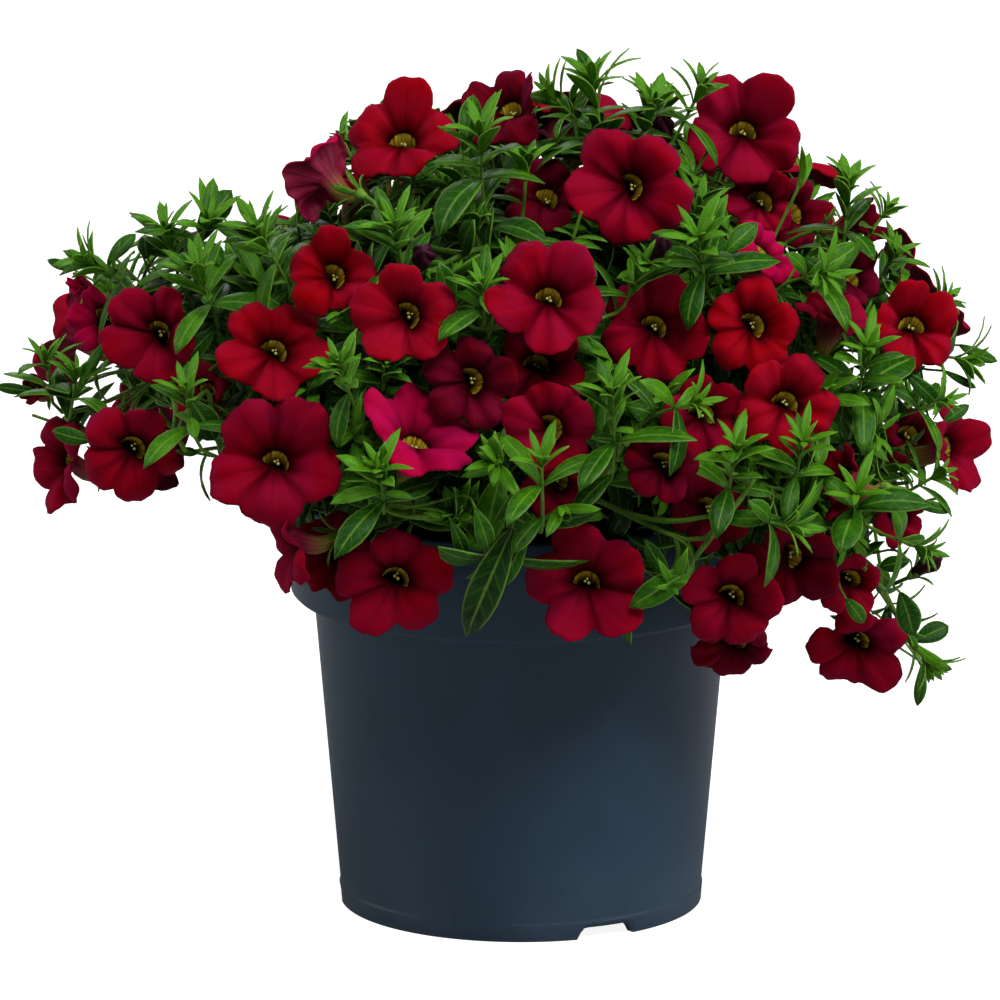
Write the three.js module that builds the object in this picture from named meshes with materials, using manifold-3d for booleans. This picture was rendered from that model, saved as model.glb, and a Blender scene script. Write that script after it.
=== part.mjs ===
// A red calibrachoa, or mini petunia, growing in a plastic nursery pot.
// Units are millimetres, +Z is up and the viewer stands at -Y. The origin is the
// middle of the pot's foot, on the surface that the pot stands on.

import * as THREE from 'three';
import { mergeVertices } from 'three/addons/utils/BufferGeometryUtils.js';
import Module from 'manifold-3d';

const wasm = await Module();
wasm.setup();

// ---- driving dimensions -------------------------------------------------------

const GAP = 0.35; // clear distance between neighbouring pieces
const JOIN_TOLERANCE = 0.08;

// Pot: a tapered body on a short foot skirt, under a wider upright rim band.
const WALL = 1.2;
const FOOT_RADIUS = 51.0;
const FOOT_HEIGHT = 5.0;
const SEAM_STEP = 0.35;
const BODY_TOP_RADIUS = 58.5;
const BAND_BOTTOM = 89.2;
const BAND_RADIUS = 64.9;
const BAND_TOP_RADIUS = 65.0;
const POT_HEIGHT = 118.5;
const BAND_EDGE = 1.3;
const POT_SIDES = 36;
const NOTCH = { count: 3, turn: 27.7, width: 17, height: 3.4, slope: 2.2 };
const DRAIN = { count: 6, ring: 33, radius: 5, sides: 6 };
const CENTRE_FOOT_RADIUS = 9;

// Potting soil: fills the pot and rises to a low mound round the stems.
const SOIL_EDGE_HEIGHT = 112.5;
const SOIL_MOUND_HEIGHT = 116.0;
const SOIL_SIDES = 24;

// Crown: an egg shape that the blooms and shoots end on.
const CROWN_MIDDLE = new THREE.Vector3(-6.8, 0, 138);
const CROWN_REACH = new THREE.Vector3(137, 112, 103);

// Stems.
const TRUNK_RADIUS = 1.7;
const TRUNK_FOOT = 99.5;
const TRUNK_SIDES = 4;
const STEM_RADIUS = 0.95;
const STALK_RADIUS = 0.8;
const STEM_SIDES = 3;
const TURN_BACK = 25; // what a fork that points away adds to its distance
const CROWDING = 2.5; // and what each stem that its branch already has adds
const HOLE_CLEARANCE = 0.6;
const HOLE_SIDES = 5;

// Bloom: a five-lobed shallow funnel on a narrow tube, held by a green calyx.
const LOBES = 5;
const PETAL_THICKNESS = 0.8;
const THROAT_RADIUS = 3.4;
const THROAT_DEPTH = 4.5;
const FUNNEL_RISE = 0.4; // rim height over the throat, as a share of the radius
const NOTCH_SHARE = 0.86; // radius at the notch between two lobes
const SHOULDER_TURN = 15; // degrees either side of a lobe's middle
const NOTCH_SINK = 0.9;
const SMALL_BLOOM = 12; // a smaller radius has one point to each lobe
const TUBE_LENGTH = 13;
const TUBE_BASE_RADIUS = 1.3;
const WIDTH_TO_RADIUS = 1.93; // five lobes span less than two radii
const CALYX_GAP = 0.45;
const CALYX_RADIUS = 1.8;
const CALYX_HEIGHT = 1.8;
const SEPAL_SPREAD = 5.0;
const SEPAL_RISE = 6.5;
const STUB = 6; // length of stalk that other stems keep clear of
const RETREAT_STEP = 1.5;

// Leaves: whorls of three along the end of each shoot.
const LEAF_ROOT = 1.0;
const LEAF_THICKNESS = 0.65;
const LEAF_WIDTH_SHARE = 0.3; // width over length
const WHORL_STEP = 8.0;
const LOW_LEAF_ANGLE = 80; // from the stem, at the bottom whorl
const TOP_LEAF_ANGLE = 22; // and at the top one
const BIG_LEAF = 18; // a leaf this long has a rounder outline

// ---- the front view -----------------------------------------------------------
// Blooms and shoots in front are sited by the column and row where they are seen
// from a point far in front and a little above.

const VIEW_TILT = THREE.MathUtils.degToRad(13.6);
const MM_PER_POINT = 0.2818;
const AXIS_COLUMN = 521;
const FOOT_ROW = 898;

// Blooms from front to back: column, row, width in points, yaw (+ faces right),
// pitch (+ faces up), angle of one lobe, set back (mm), openness, tone.
const BLOOMS = [
  [277, 460, 136, -5, 10, 54, 0, 1, 1],
  [426, 430, 125, 28, 42, 150, 6, 1, 3],
  [547, 300, 119, 0, 12, 54, 0, 1, 1],
  [625, 190, 125, -5, 5, 48, 0, 1, 1],
  [743, 132, 119, 5, 12, 54, 0, 1, 1],
  [397, 125, 114, -12, 30, 83, 0, 1, 0],
  [405, 318, 104, -8, 5, 95, 0, 1, 0],
  [277, 352, 110, 0, 10, 56, 0, 1, 0],
  [155, 335, 104, -20, 5, 60, 0, 1, 1],
  [135, 452, 103, 0, -15, 64, 0, 1, 1],
  [397, 585, 115, 0, -15, 20, 14, 1, 1],
  [585, 583, 121, 0, 0, 100, 14, 1, 1],
  [727, 600, 100, 0, -10, 80, 8, 1, 1],
  [783, 405, 103, 10, 5, 60, 0, 1, 0],
  [748, 325, 100, 5, -3, 8, 0, 1, 0],
  [912, 328, 90, 15, 10, 28, 0, 1, 0],
  [857, 655, 100, 10, -38, 30, 0, 1, 1],
  [958, 450, 92, 62, 0, 20, 0, 1, 1],
  [55, 465, 100, -68, 0, 40, 0, 1, 1],
  [333, 275, 91, -5, 20, 90, 0, 1, 0],
  [470, 385, 94, 0, -3, 80, 4, 1, 2],
  [658, 468, 74, 0, -5, 80, 0, 1, 2],
  [318, 178, 92, -130, 20, 60, 0, 1, 3],
  [500, 108, 92, -35, 30, 100, 6, 1, 2],
  [832, 311, 84, 30, 55, 20, 4, 1, 1],
  [282, 545, 96, -70, -10, 30, 2, 1, 1],
  [548, 430, 97, 0, 0, 90, 8, 1, 1],
  [650, 330, 110, 0, 5, 64, 12, 1, 1],
  [790, 565, 100, 15, -25, 40, 8, 1, 2],
  [730, 655, 84, 0, -50, 50, 12, 1, 2],
  [335, 555, 88, -25, -10, 70, 14, 1, 2],
  [33, 390, 42, -30, 0, 60, 0, 0.75, 2],
  [96, 320, 66, -35, 10, 30, 10, 1, 3],
  [80, 286, 46, -50, 20, 30, 0, 0.5, 3],
  [537, 370, 92, 5, 0, 50, 20, 1, 1],
  [757, 203, 70, 0, 12, 40, 22, 1, 1],
  [770, 252, 76, 60, 30, 30, 10, 1, 3],
  [797, 213, 78, 30, 10, 70, 24, 1, 2],
  [870, 221, 66, 60, 10, 20, 0, 0.7, 2],
  [850, 273, 70, 30, 30, 50, 20, 1, 2],
  [540, 195, 88, -10, 30, 80, 26, 1, 2],
  [700, 418, 84, 10, 0, 30, 16, 1, 1],
  [832, 482, 76, -60, 5, 60, 8, 1, 1],
  [706, 512, 84, 10, -5, 45, 20, 1, 2],
  [912, 440, 62, 30, -5, 20, 22, 1, 2],
  [900, 522, 60, 40, -20, 50, 12, 1, 1],
  [556, 492, 70, 10, -40, 30, 18, 1, 1],
  [848, 588, 66, 20, -30, 20, 8, 1, 1],
  [200, 395, 70, -40, 10, 10, 22, 1, 1],
  [660, 243, 30, 20, 40, 0, 0, 0.25, 3],
  [660, 120, 34, -10, 40, 0, 10, 0.3, 3],
  [425, 257, 34, 0, 20, 0, 0, 0.4, 2],
  [935, 556, 30, 50, 30, 0, 4, 0.3, 3],
];
const BLOOM_NODES = 44; // blooms past this count are one body with their spray

// Shoots in front: column and row of the leafy part's middle, direction in the
// view (90 is up), lean to the viewer, leafy length, leaf length, set back (mm).
const SHOOTS = [
  [178, 262, 105, 25, 14, 14, 4],
  [205, 245, 70, 30, 8, 18, 4],
  [118, 278, 150, 20, 12, 17, 2],
  [55, 387, 98, 15, 10, 14, 0],
  [275, 258, 120, 35, 14, 15, 2],
  [482, 172, 92, 30, 16, 18, 0],
  [400, 255, 100, 45, 14, 16, 2],
  [598, 128, 98, 15, 20, 18, 2],
  [570, 118, 138, 20, 12, 15, 6],
  [642, 135, 70, 20, 12, 14, 4],
  [687, 116, 62, 15, 12, 12, -6],
  [842, 222, 85, 20, 16, 14, -4],
  [868, 234, 55, 10, 10, 12, -2],
  [880, 276, 60, 30, 10, 13, 19],
  [922, 312, 30, 10, 8, 12, 10],
  [934, 357, -8, 0, 10, 16, 0],
  [698, 268, 100, 50, 16, 18, 0],
  [802, 281, 10, 45, 8, 17, 2],
  [611, 430, 92, 35, 18, 18, 0],
  [672, 410, 15, 35, 8, 15, 0],
  [541, 485, 92, 40, 10, 17, 0],
  [726, 478, 80, 40, 16, 16, -3],
  [765, 522, -12, 30, 8, 18, -4],
  [350, 388, 110, 50, 14, 14, 2],
  [385, 492, 95, 55, 16, 16, 0],
  [495, 552, -82, 20, 6, 20, 14],
  [484, 312, 95, 30, 8, 16, 8],
  [792, 468, 80, 45, 14, 16, -3],
  [856, 380, 80, 45, 18, 17, 0],
  [915, 410, 20, 30, 10, 13, 2],
  [850, 508, 90, 55, 8, 17, -7],
  [915, 485, 30, 20, 8, 12, 4],
  [895, 540, -20, 20, 10, 14, -5],
  [895, 617, -57, 5, 26, 14, 4],
  [78, 400, 80, 20, 10, 14, 2],
  [196, 418, 100, 40, 14, 15, 2],
  [632, 600, 205, 30, 6, 15, 18],
  [212, 298, 110, 40, 14, 16, 2],
];

// The back and the far sides follow a rule: blooms and shoots spread evenly over
// the crown, each turned out along the crown's surface.
const REAR = { from: 98, to: 264, low: -12, high: 82 };
const REAR_BLOOMS = 18;
const REAR_BLOOM_WIDTH = 34;
const REAR_SHOOT_SITES = 26; // a site is used where it has room between the blooms
const SHOOT_ROOM = 17;
const REAR_LEAF = 17;
const LEAF_TIP_REACH = 11; // of the top leaves past the leafy part's end
const GOLDEN = 0.618034;

// The crown's upper outline in the front view, as columns and rows. What grows on the
// hidden sides stays under it.
const SKYLINE = [
  [-1, 900], [0, 386], [45, 300], [60, 261], [100, 237], [140, 205], [200, 205],
  [240, 212], [285, 200], [300, 143], [360, 100], [400, 78], [440, 103], [480, 84],
  [500, 74], [560, 83], [580, 60], [640, 66], [700, 80], [780, 88], [800, 126],
  [860, 175], [920, 250], [960, 308], [985, 360], [992, 900],
];
const SKYLINE_MARGIN = 8;

// Trunks out of the soil: bearing from the front (+ turns right) and steepness.
const TRUNKS = [
  [0, 16], [40, 14], [80, 12], [120, 14], [160, 16], [200, 16], [240, 14],
  [280, 12], [320, 14], [20, 50], [92, 50], [164, 50], [236, 50], [308, 50],
];
const TRUNK_REACH = 64;

// ---- looks ---------------------------------------------------------------------

const matt = (color, roughness) => new THREE.MeshStandardMaterial({ color, roughness, metalness: 0 });
const POT_PLASTIC = matt(0x31404d, 0.45);
const SOIL_BROWN = matt(0x2a1f16, 0.95);
const PETAL_REDS = [0xa80423, 0x82021a, 0x560112, 0x94093a].map((color) => matt(color, 0.7));
const LEAF_GREEN = matt(0x3f7a1b, 0.6);

// ---- small helpers ---------------------------------------------------------------

const { degToRad } = THREE.MathUtils;
const Z_AXIS = new THREE.Vector3(0, 0, 1);
const at = (origin, direction, distance) => origin.clone().addScaledVector(direction, distance);

/** A fixed, seeded draw between 0 and 1. */
function draw(seed) {
  const value = Math.sin(seed * 12.9898) * 43758.5453;
  return value - Math.floor(value);
}

/** A closed surface that grows ring by ring and ends as a solid. */
class Skin {
  constructor() {
    this.places = [];
    this.corners = [];
  }

  point(place) {
    this.places.push(place.x, place.y, place.z);
    return this.places.length / 3 - 1;
  }

  /** A ring of points round a middle: turns in degrees, radii, and heights. */
  ring(frame, turns, radius, height) {
    const ids = turns.map((turn, i) => {
      const r = typeof radius === 'number' ? radius : radius[i];
      const h = typeof height === 'number' ? height : height[i];
      const angle = degToRad(turn);
      const place = new THREE.Vector3(r * Math.cos(angle), r * Math.sin(angle), h);
      return this.point(place.applyMatrix4(frame));
    });
    return { ids, turns };
  }

  face(a, b, c) {
    this.corners.push(a, b, c);
  }

  /** Joins two rings, each turning left as seen from the upper one's side. */
  join(lower, upper) {
    const half = (ring, i) => {
      const n = ring.turns.length;
      const turn = (k) => ring.turns[k % n] + 360 * Math.floor(k / n);
      return (turn(i) + turn(i + 1)) / 2;
    };
    const n = lower.ids.length;
    const m = upper.ids.length;
    let i = 0;
    let j = 0;
    while (i < n || j < m) {
      const low = lower.ids[i % n];
      const high = upper.ids[j % m];
      if (i < n && (j >= m || half(lower, i) <= half(upper, j))) {
        this.face(low, lower.ids[(i + 1) % n], high);
        i += 1;
      } else {
        this.face(low, upper.ids[(j + 1) % m], high);
        j += 1;
      }
    }
  }

  /** Closes a ring to one point further on. */
  close(ids, tip) {
    ids.forEach((id, i) => this.face(id, ids[(i + 1) % ids.length], tip));
  }

  /** Covers a ring with a flat fan, facing back along the growth or forward. */
  cap(ids, back) {
    for (let i = 1; i + 1 < ids.length; i += 1) {
      if (back) this.face(ids[0], ids[i + 1], ids[i]);
      else this.face(ids[0], ids[i], ids[i + 1]);
    }
  }

  solid() {
    return new wasm.Manifold(new wasm.Mesh({
      numProp: 3,
      vertProperties: new Float32Array(this.places),
      triVerts: new Uint32Array(this.corners),
    }));
  }
}

function solidOf(geometry) {
  const bare = geometry.clone();
  bare.deleteAttribute('normal');
  bare.deleteAttribute('uv');
  const merged = mergeVertices(bare, 1e-4);
  return new wasm.Manifold(new wasm.Mesh({
    numProp: 3,
    vertProperties: new Float32Array(merged.attributes.position.array),
    triVerts: new Uint32Array(merged.index.array),
  }));
}

function meshOf(name, solid, material) {
  const { vertProperties, triVerts } = solid.getMesh();
  const geometry = new THREE.BufferGeometry();
  geometry.setAttribute('position', new THREE.BufferAttribute(new Float32Array(vertProperties), 3));
  geometry.setIndex(new THREE.BufferAttribute(new Uint32Array(triVerts), 1));
  geometry.computeVertexNormals();
  const mesh = new THREE.Mesh(geometry, material);
  mesh.name = name;
  return mesh;
}

const evenTurns = (count, start = 0) => Array.from({ length: count }, (_, i) => start + (360 / count) * i);

// ---- clearance -------------------------------------------------------------------

/** A placed solid with its box and the branch that it is one body with, if any. */
function placed(solid, branch = null) {
  const { min, max } = solid.boundingBox();
  return { solid, branch, min, max };
}

function clearOf(item, others) {
  return others.every((other) => {
    const above = (k) => item.min[k] > other.max[k] + GAP;
    const below = (k) => other.min[k] > item.max[k] + GAP;
    const apart = [0, 1, 2].some((k) => above(k) || below(k));
    return apart || item.solid.minGap(other.solid, 2 * GAP) >= GAP;
  });
}

// ---- sites -----------------------------------------------------------------------

const VIEW_OUT = new THREE.Vector3(0, -Math.cos(VIEW_TILT), Math.sin(VIEW_TILT));
const VIEW_UP = new THREE.Vector3(0, Math.sin(VIEW_TILT), Math.cos(VIEW_TILT));

/** The place on the crown's near side that is seen at a column and row. */
function crownPlace(column, row, back) {
  const x = (column - AXIS_COLUMN) * MM_PER_POINT;
  const rise = ((FOOT_ROW - row) * MM_PER_POINT) / Math.cos(VIEW_TILT);
  const slope = Math.tan(VIEW_TILT);
  const { x: rx, y: ry, z: rz } = CROWN_REACH;
  const over = rise - CROWN_MIDDLE.z;
  const a = 1 / ry ** 2 + slope ** 2 / rz ** 2;
  const b = (-2 * slope * over) / rz ** 2;
  const c = ((x - CROWN_MIDDLE.x) / rx) ** 2 + (over / rz) ** 2 - 1;
  const y = (-b - Math.sqrt(Math.max(0, b * b - 4 * a * c))) / (2 * a) + back;
  return new THREE.Vector3(x, y, rise - y * slope);
}

/** The row of the crown's upper outline at a column of the front view. */
function skylineRow(column) {
  const passed = SKYLINE.filter(([edge]) => edge <= column).length;
  const next = Math.min(SKYLINE.length - 1, Math.max(1, passed));
  const [left, leftRow] = SKYLINE[next - 1];
  const [right, rightRow] = SKYLINE[next];
  const share = THREE.MathUtils.clamp((column - left) / (right - left), 0, 1);
  return leftRow + (rightRow - leftRow) * share;
}

/** Slides a place back until all that stands on it is seen under the outline. */
function tuckedIn(place, retreat, pointsAt) {
  const inside = (point) => {
    const row = FOOT_ROW - point.dot(VIEW_UP) / MM_PER_POINT;
    return row > skylineRow(AXIS_COLUMN + point.x / MM_PER_POINT) + SKYLINE_MARGIN;
  };
  let tucked = place;
  while (!pointsAt(tucked).every(inside)) tucked = at(tucked, retreat, RETREAT_STEP);
  return tucked;
}

/** A direction given by its angles off the line of sight. */
function viewDirection(yaw, pitch) {
  const side = degToRad(yaw);
  const lift = degToRad(pitch);
  return new THREE.Vector3(1, 0, 0).multiplyScalar(Math.sin(side) * Math.cos(lift))
    .addScaledVector(VIEW_UP, Math.sin(lift))
    .addScaledVector(VIEW_OUT, Math.cos(side) * Math.cos(lift));
}

/** The place and the outward direction on the crown at a bearing and steepness. */
function crownBearing(bearing, steepness) {
  const turn = degToRad(bearing);
  const lift = degToRad(steepness);
  const direction = new THREE.Vector3(
    Math.sin(turn) * Math.cos(lift), -Math.cos(turn) * Math.cos(lift), Math.sin(lift));
  const place = direction.clone().multiply(CROWN_REACH);
  const outward = place.clone().divide(CROWN_REACH).divide(CROWN_REACH).normalize();
  return { place: place.add(CROWN_MIDDLE), outward };
}

/** A frame with +Z along the facing and +X level in the view. */
function facingFrame(place, facing) {
  const up = Math.abs(facing.dot(VIEW_UP)) > 0.98 ? VIEW_OUT : VIEW_UP;
  const level = up.clone().cross(facing).normalize();
  const upright = facing.clone().cross(level);
  return new THREE.Matrix4().makeBasis(level, upright, facing).setPosition(place);
}

function frontBlooms() {
  return BLOOMS.map(([column, row, width, yaw, pitch, turn, back, open, tone]) => {
    const radius = (width * MM_PER_POINT) / WIDTH_TO_RADIUS;
    const place = crownPlace(column, row, back);
    const facing = viewDirection(yaw, pitch);
    return { radius, place, facing, retreat: VIEW_OUT.clone().negate(), turn, open, tone };
  });
}

function rearBlooms() {
  return Array.from({ length: REAR_BLOOMS }, (_, i) => {
    const share = (i * GOLDEN + 0.35) % 1;
    const bearing = REAR.from + ((REAR.to - REAR.from) * (i + 0.5)) / REAR_BLOOMS;
    const steepness = REAR.low + (REAR.high - REAR.low) * share;
    const { place, outward } = crownBearing(bearing, steepness);
    const facing = outward.clone().addScaledVector(Z_AXIS, 0.3 * draw(i + 3) - 0.1).normalize();
    const radius = (REAR_BLOOM_WIDTH * (0.88 + 0.2 * draw(i + 31))) / WIDTH_TO_RADIUS;
    const tone = Math.floor(4 * draw(i + 57));
    const retreat = outward.clone().negate();
    const rimAt = (spot) => evenTurns(LOBES * 2).map((turn) => (
      new THREE.Vector3(radius, 0, 0).applyAxisAngle(Z_AXIS, degToRad(turn))
        .applyMatrix4(facingFrame(spot, facing))));
    const tucked = tuckedIn(place, retreat, rimAt);
    return { radius, place: tucked, facing, retreat, turn: 72 * draw(i + 71), open: 1, tone };
  });
}

// ---- bloom -----------------------------------------------------------------------

/** Heights and radii along one bloom, measured from the plane of its rim. */
function bloomForm({ radius, open }) {
  const limb = Math.hypot(radius - THROAT_RADIUS, FUNNEL_RISE * radius);
  const rimRadius = radius * open;
  const throat = Math.min(THROAT_RADIUS, rimRadius * 0.5);
  const rise = Math.sqrt(Math.max(1, limb ** 2 - (rimRadius - throat) ** 2));
  const length = TUBE_LENGTH * Math.min(1, 0.4 + radius / 28);
  return { rimRadius, throat, rise, base: -rise - length };
}

/** The red corolla: lobed limb, throat and tube, as one thin-walled solid. */
function corolla(bloom) {
  const { rimRadius, throat, rise, base } = bloomForm(bloom);
  const frame = facingFrame(bloom.place, bloom.facing);
  const lobeStep = 360 / LOBES;
  const tips = bloom.fused || bloom.radius < SMALL_BLOOM ? [0] : [-SHOULDER_TURN, SHOULDER_TURN];
  const turns = [];
  const radii = [];
  const heights = [];
  for (let lobe = 0; lobe < LOBES; lobe += 1) {
    const middle = bloom.turn + lobe * lobeStep;
    turns.push(middle - lobeStep / 2, ...tips.map((tip) => middle + tip));
    radii.push(rimRadius * NOTCH_SHARE, ...tips.map(() => rimRadius));
    heights.push(-NOTCH_SINK, ...tips.map(() => 0));
  }
  const lobeTurns = evenTurns(LOBES, bloom.turn);
  const skin = new Skin();
  const foot = skin.ring(frame, lobeTurns, TUBE_BASE_RADIUS, base);
  const neck = skin.ring(frame, lobeTurns, throat + PETAL_THICKNESS, -rise - PETAL_THICKNESS);
  const under = skin.ring(frame, turns, radii, heights.map((h) => h - PETAL_THICKNESS));
  const rim = skin.ring(frame, turns, radii, heights);
  const mouth = skin.ring(frame, lobeTurns, throat, -rise);
  const depth = new THREE.Vector3(0, 0, -rise - THROAT_DEPTH);
  const bottom = skin.point(depth.applyMatrix4(frame));
  skin.cap(foot.ids, true);
  skin.join(foot, neck);
  skin.join(neck, under);
  skin.join(under, rim);
  skin.join(rim, mouth);
  skin.close(mouth.ids, bottom);
  return skin.solid();
}


// ---- stems -----------------------------------------------------------------------

/** Frames along a path, carried back from a given sideways direction at its end. */
function framesAlong(path, sideways) {
  const last = path.length - 1;
  const tangent = (i) => path[Math.min(last, i + 1)].clone().sub(path[Math.max(0, i - 1)]).normalize();
  const frames = [];
  let side = sideways.clone();
  for (let i = last; i >= 0; i -= 1) {
    const along = tangent(i);
    side.addScaledVector(along, -side.dot(along)).normalize();
    const across = along.clone().cross(side);
    frames[i] = new THREE.Matrix4().makeBasis(side.clone(), across, along).setPosition(path[i]);
  }
  return frames;
}

/** Grows a tapering stem along a path and returns its last ring. */
function growStem(skin, path, sideways, sides, radius, tipRadius) {
  const turns = evenTurns(sides);
  const frames = framesAlong(path, sideways);
  let previous = null;
  frames.forEach((frame, i) => {
    const share = i / (frames.length - 1);
    const ring = skin.ring(frame, turns, radius + (tipRadius - radius) * share, 0);
    if (previous) skin.join(previous, ring);
    else skin.cap(ring.ids, true);
    previous = ring;
  });
  return previous;
}

function bend(from, leaving, to, arriving, steps, fullness = 0.38) {
  const reach = fullness * from.distanceTo(to);
  const curve = new THREE.CubicBezierCurve3(from, at(from, leaving, reach), at(to, arriving, -reach), to);
  return curve.getPoints(steps);
}

const sidewaysOf = (direction) => new THREE.Vector3(direction.y, -direction.x, 0.31)
  .cross(direction).normalize();

/** The trunks: each rises from its own hole and leans out to its side. */
function growTrunks() {
  return TRUNKS.map(([bearing, steepness]) => {
    const turn = degToRad(bearing);
    const lift = degToRad(steepness);
    const spread = new THREE.Vector3(Math.sin(turn), -Math.cos(turn), 0);
    const out = spread.clone().multiplyScalar(Math.cos(lift)).addScaledVector(Z_AXIS, Math.sin(lift));
    const foot = spread.clone().multiplyScalar(steepness > 40 ? 10 : 27).setZ(TRUNK_FOOT);
    const collar = foot.clone().setZ(SOIL_MOUND_HEIGHT + 3);
    const end = at(new THREE.Vector3(0, 0, collar.z), out, TRUNK_REACH);
    const path = [foot, ...bend(collar, Z_AXIS, end, out, 4)];
    const skin = new Skin();
    const top = growStem(skin, path, sidewaysOf(out), TRUNK_SIDES, TRUNK_RADIUS, STEM_RADIUS);
    skin.cap(top.ids, false);
    return { foot, path, solid: skin.solid() };
  });
}

/** Points that a side stem may leave a stem from, with that stem and its branch. */
function forkPoints(path, parent, first) {
  const points = [];
  for (let i = first; i < path.length - 1; i += 1) {
    const along = path[i + 1].clone().sub(path[i]).normalize();
    [0.25, 0.75].forEach((share) => {
      points.push({ place: path[i].clone().lerp(path[i + 1], share), along, parent });
    });
  }
  return points;
}

/** Tries the forks from the nearest on, and keeps the first stem that runs clear. */
function rootedStem(forks, target, arriving, steps, build, blocked) {
  const aim = at(target, arriving, -12);
  const tries = forks.map((fork) => {
    const way = aim.clone().sub(fork.place);
    const backward = Math.max(0, -way.clone().normalize().dot(fork.along));
    const crowd = blocked.filter(({ branch }) => branch === fork.parent.branch).length;
    return { fork, cost: way.length() + TURN_BACK * backward + CROWDING * crowd };
  });
  tries.sort((one, other) => one.cost - other.cost);
  for (const { fork } of tries) {
    if (fork.place.distanceTo(target) < 9) continue;
    const leaving = fork.along.clone().lerp(target.clone().sub(fork.place).normalize(), 0.5).normalize();
    for (const fullness of [0.38, 0.6, 0.2]) {
      const path = bend(fork.place, leaving, target, arriving, steps, fullness);
      const item = placed(build(path), fork.parent.branch);
      if (clearOf(item, blocked.filter((other) => other !== fork.parent))) return { item, path };
    }
  }
  return null;
}

// ---- flower stalk and calyx --------------------------------------------------------

/** A green stalk that ends in a cup and five pointed sepals behind the corolla. */
function stalkAndCalyx(bloom, path) {
  const frame = facingFrame(bloom.place, bloom.facing);
  const { base } = bloomForm(bloom);
  const top = bloom.fused ? base + 0.6 : base - CALYX_GAP;
  const turns = evenTurns(LOBES, 36);
  const skin = new Skin();
  const level = new THREE.Vector3().setFromMatrixColumn(frame, 0);
  const stalk = growStem(skin, path, level, STEM_SIDES, STALK_RADIUS, STALK_RADIUS);
  const lower = skin.ring(frame, turns, CALYX_RADIUS * 0.8, top - CALYX_HEIGHT);
  const upper = skin.ring(frame, turns, CALYX_RADIUS, top);
  skin.join(stalk, lower);
  if (bloom.fused) skin.join(lower, upper);
  else turns.forEach((turn, i) => {
    const next = (i + 1) % LOBES;
    const middle = degToRad(turn + 180 / LOBES);
    const tip = new THREE.Vector3(
      SEPAL_SPREAD * Math.cos(middle), SEPAL_SPREAD * Math.sin(middle), top + SEPAL_RISE);
    const quad = [lower.ids[i], lower.ids[next], upper.ids[next], upper.ids[i]];
    skin.close(quad, skin.point(tip.applyMatrix4(frame)));
  });
  skin.cap(upper.ids, false);
  return skin.solid();
}

/** Where a bloom's stalk meets its calyx. */
const stalkEnd = (bloom) => at(
  bloom.place, bloom.facing, bloomForm(bloom).base - CALYX_GAP - CALYX_HEIGHT - 1);

/** Sets every bloom back from those before it until all stand clear. */
function placeBlooms(blooms) {
  const standing = [];
  blooms.forEach((bloom) => {
    const build = () => {
      const end = stalkEnd(bloom);
      const stub = stalkAndCalyx(bloom, [at(end, bloom.facing, -STUB), end]);
      return [placed(corolla(bloom)), placed(stub)];
    };
    let pair = build();
    while (!pair.every((item) => clearOf(item, standing))) {
      bloom.place.addScaledVector(bloom.retreat, RETREAT_STEP);
      pair = build();
    }
    standing.push(...pair);
    [bloom.corolla, bloom.stub] = pair;
  });
}

// ---- leafy shoot -------------------------------------------------------------------

/** Blade sections of one leaf, outward from its root; the last entry is its tip. */
function leafBlade(root, along, out, angle, length, seed) {
  const across = along.clone().cross(out);
  const rounder = length >= BIG_LEAF;
  const stations = rounder ? [[0.42, 0.9], [0.76, 0.86]] : [[0.6, 1]];
  const droop = 0.18 + 0.2 * draw(seed);
  const lean = degToRad(angle);
  const width = length * LEAF_WIDTH_SHARE * (rounder ? 1 : 0.92);
  const spot = (share) => {
    const turn = lean + droop * share * 1.6;
    const direction = along.clone().multiplyScalar(Math.cos(turn)).addScaledVector(out, Math.sin(turn));
    const face = along.clone().multiplyScalar(Math.sin(turn)).addScaledVector(out, -Math.cos(turn));
    return { place: at(root, direction, length * share), face };
  };
  const loops = stations.map(([share, broad]) => {
    const { place, face } = spot(share);
    const half = (width * broad) / 2;
    return [[-half, -1], [half, -1], [half, 1], [-half, 1]].map(([side, up]) => (
      at(at(place, across, side), face, (up * LEAF_THICKNESS) / 2)));
  });
  return { loops, tip: spot(1).place };
}

function bladeOnto(skin, quad, blade) {
  let ids = quad;
  blade.loops.forEach((loop) => {
    const next = loop.map((place) => skin.point(place));
    ids.forEach((id, i) => {
      const j = (i + 1) % 4;
      skin.face(id, ids[j], next[j]);
      skin.face(id, next[j], next[i]);
    });
    ids = next;
  });
  skin.close(ids, skin.point(blade.tip));
}

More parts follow.
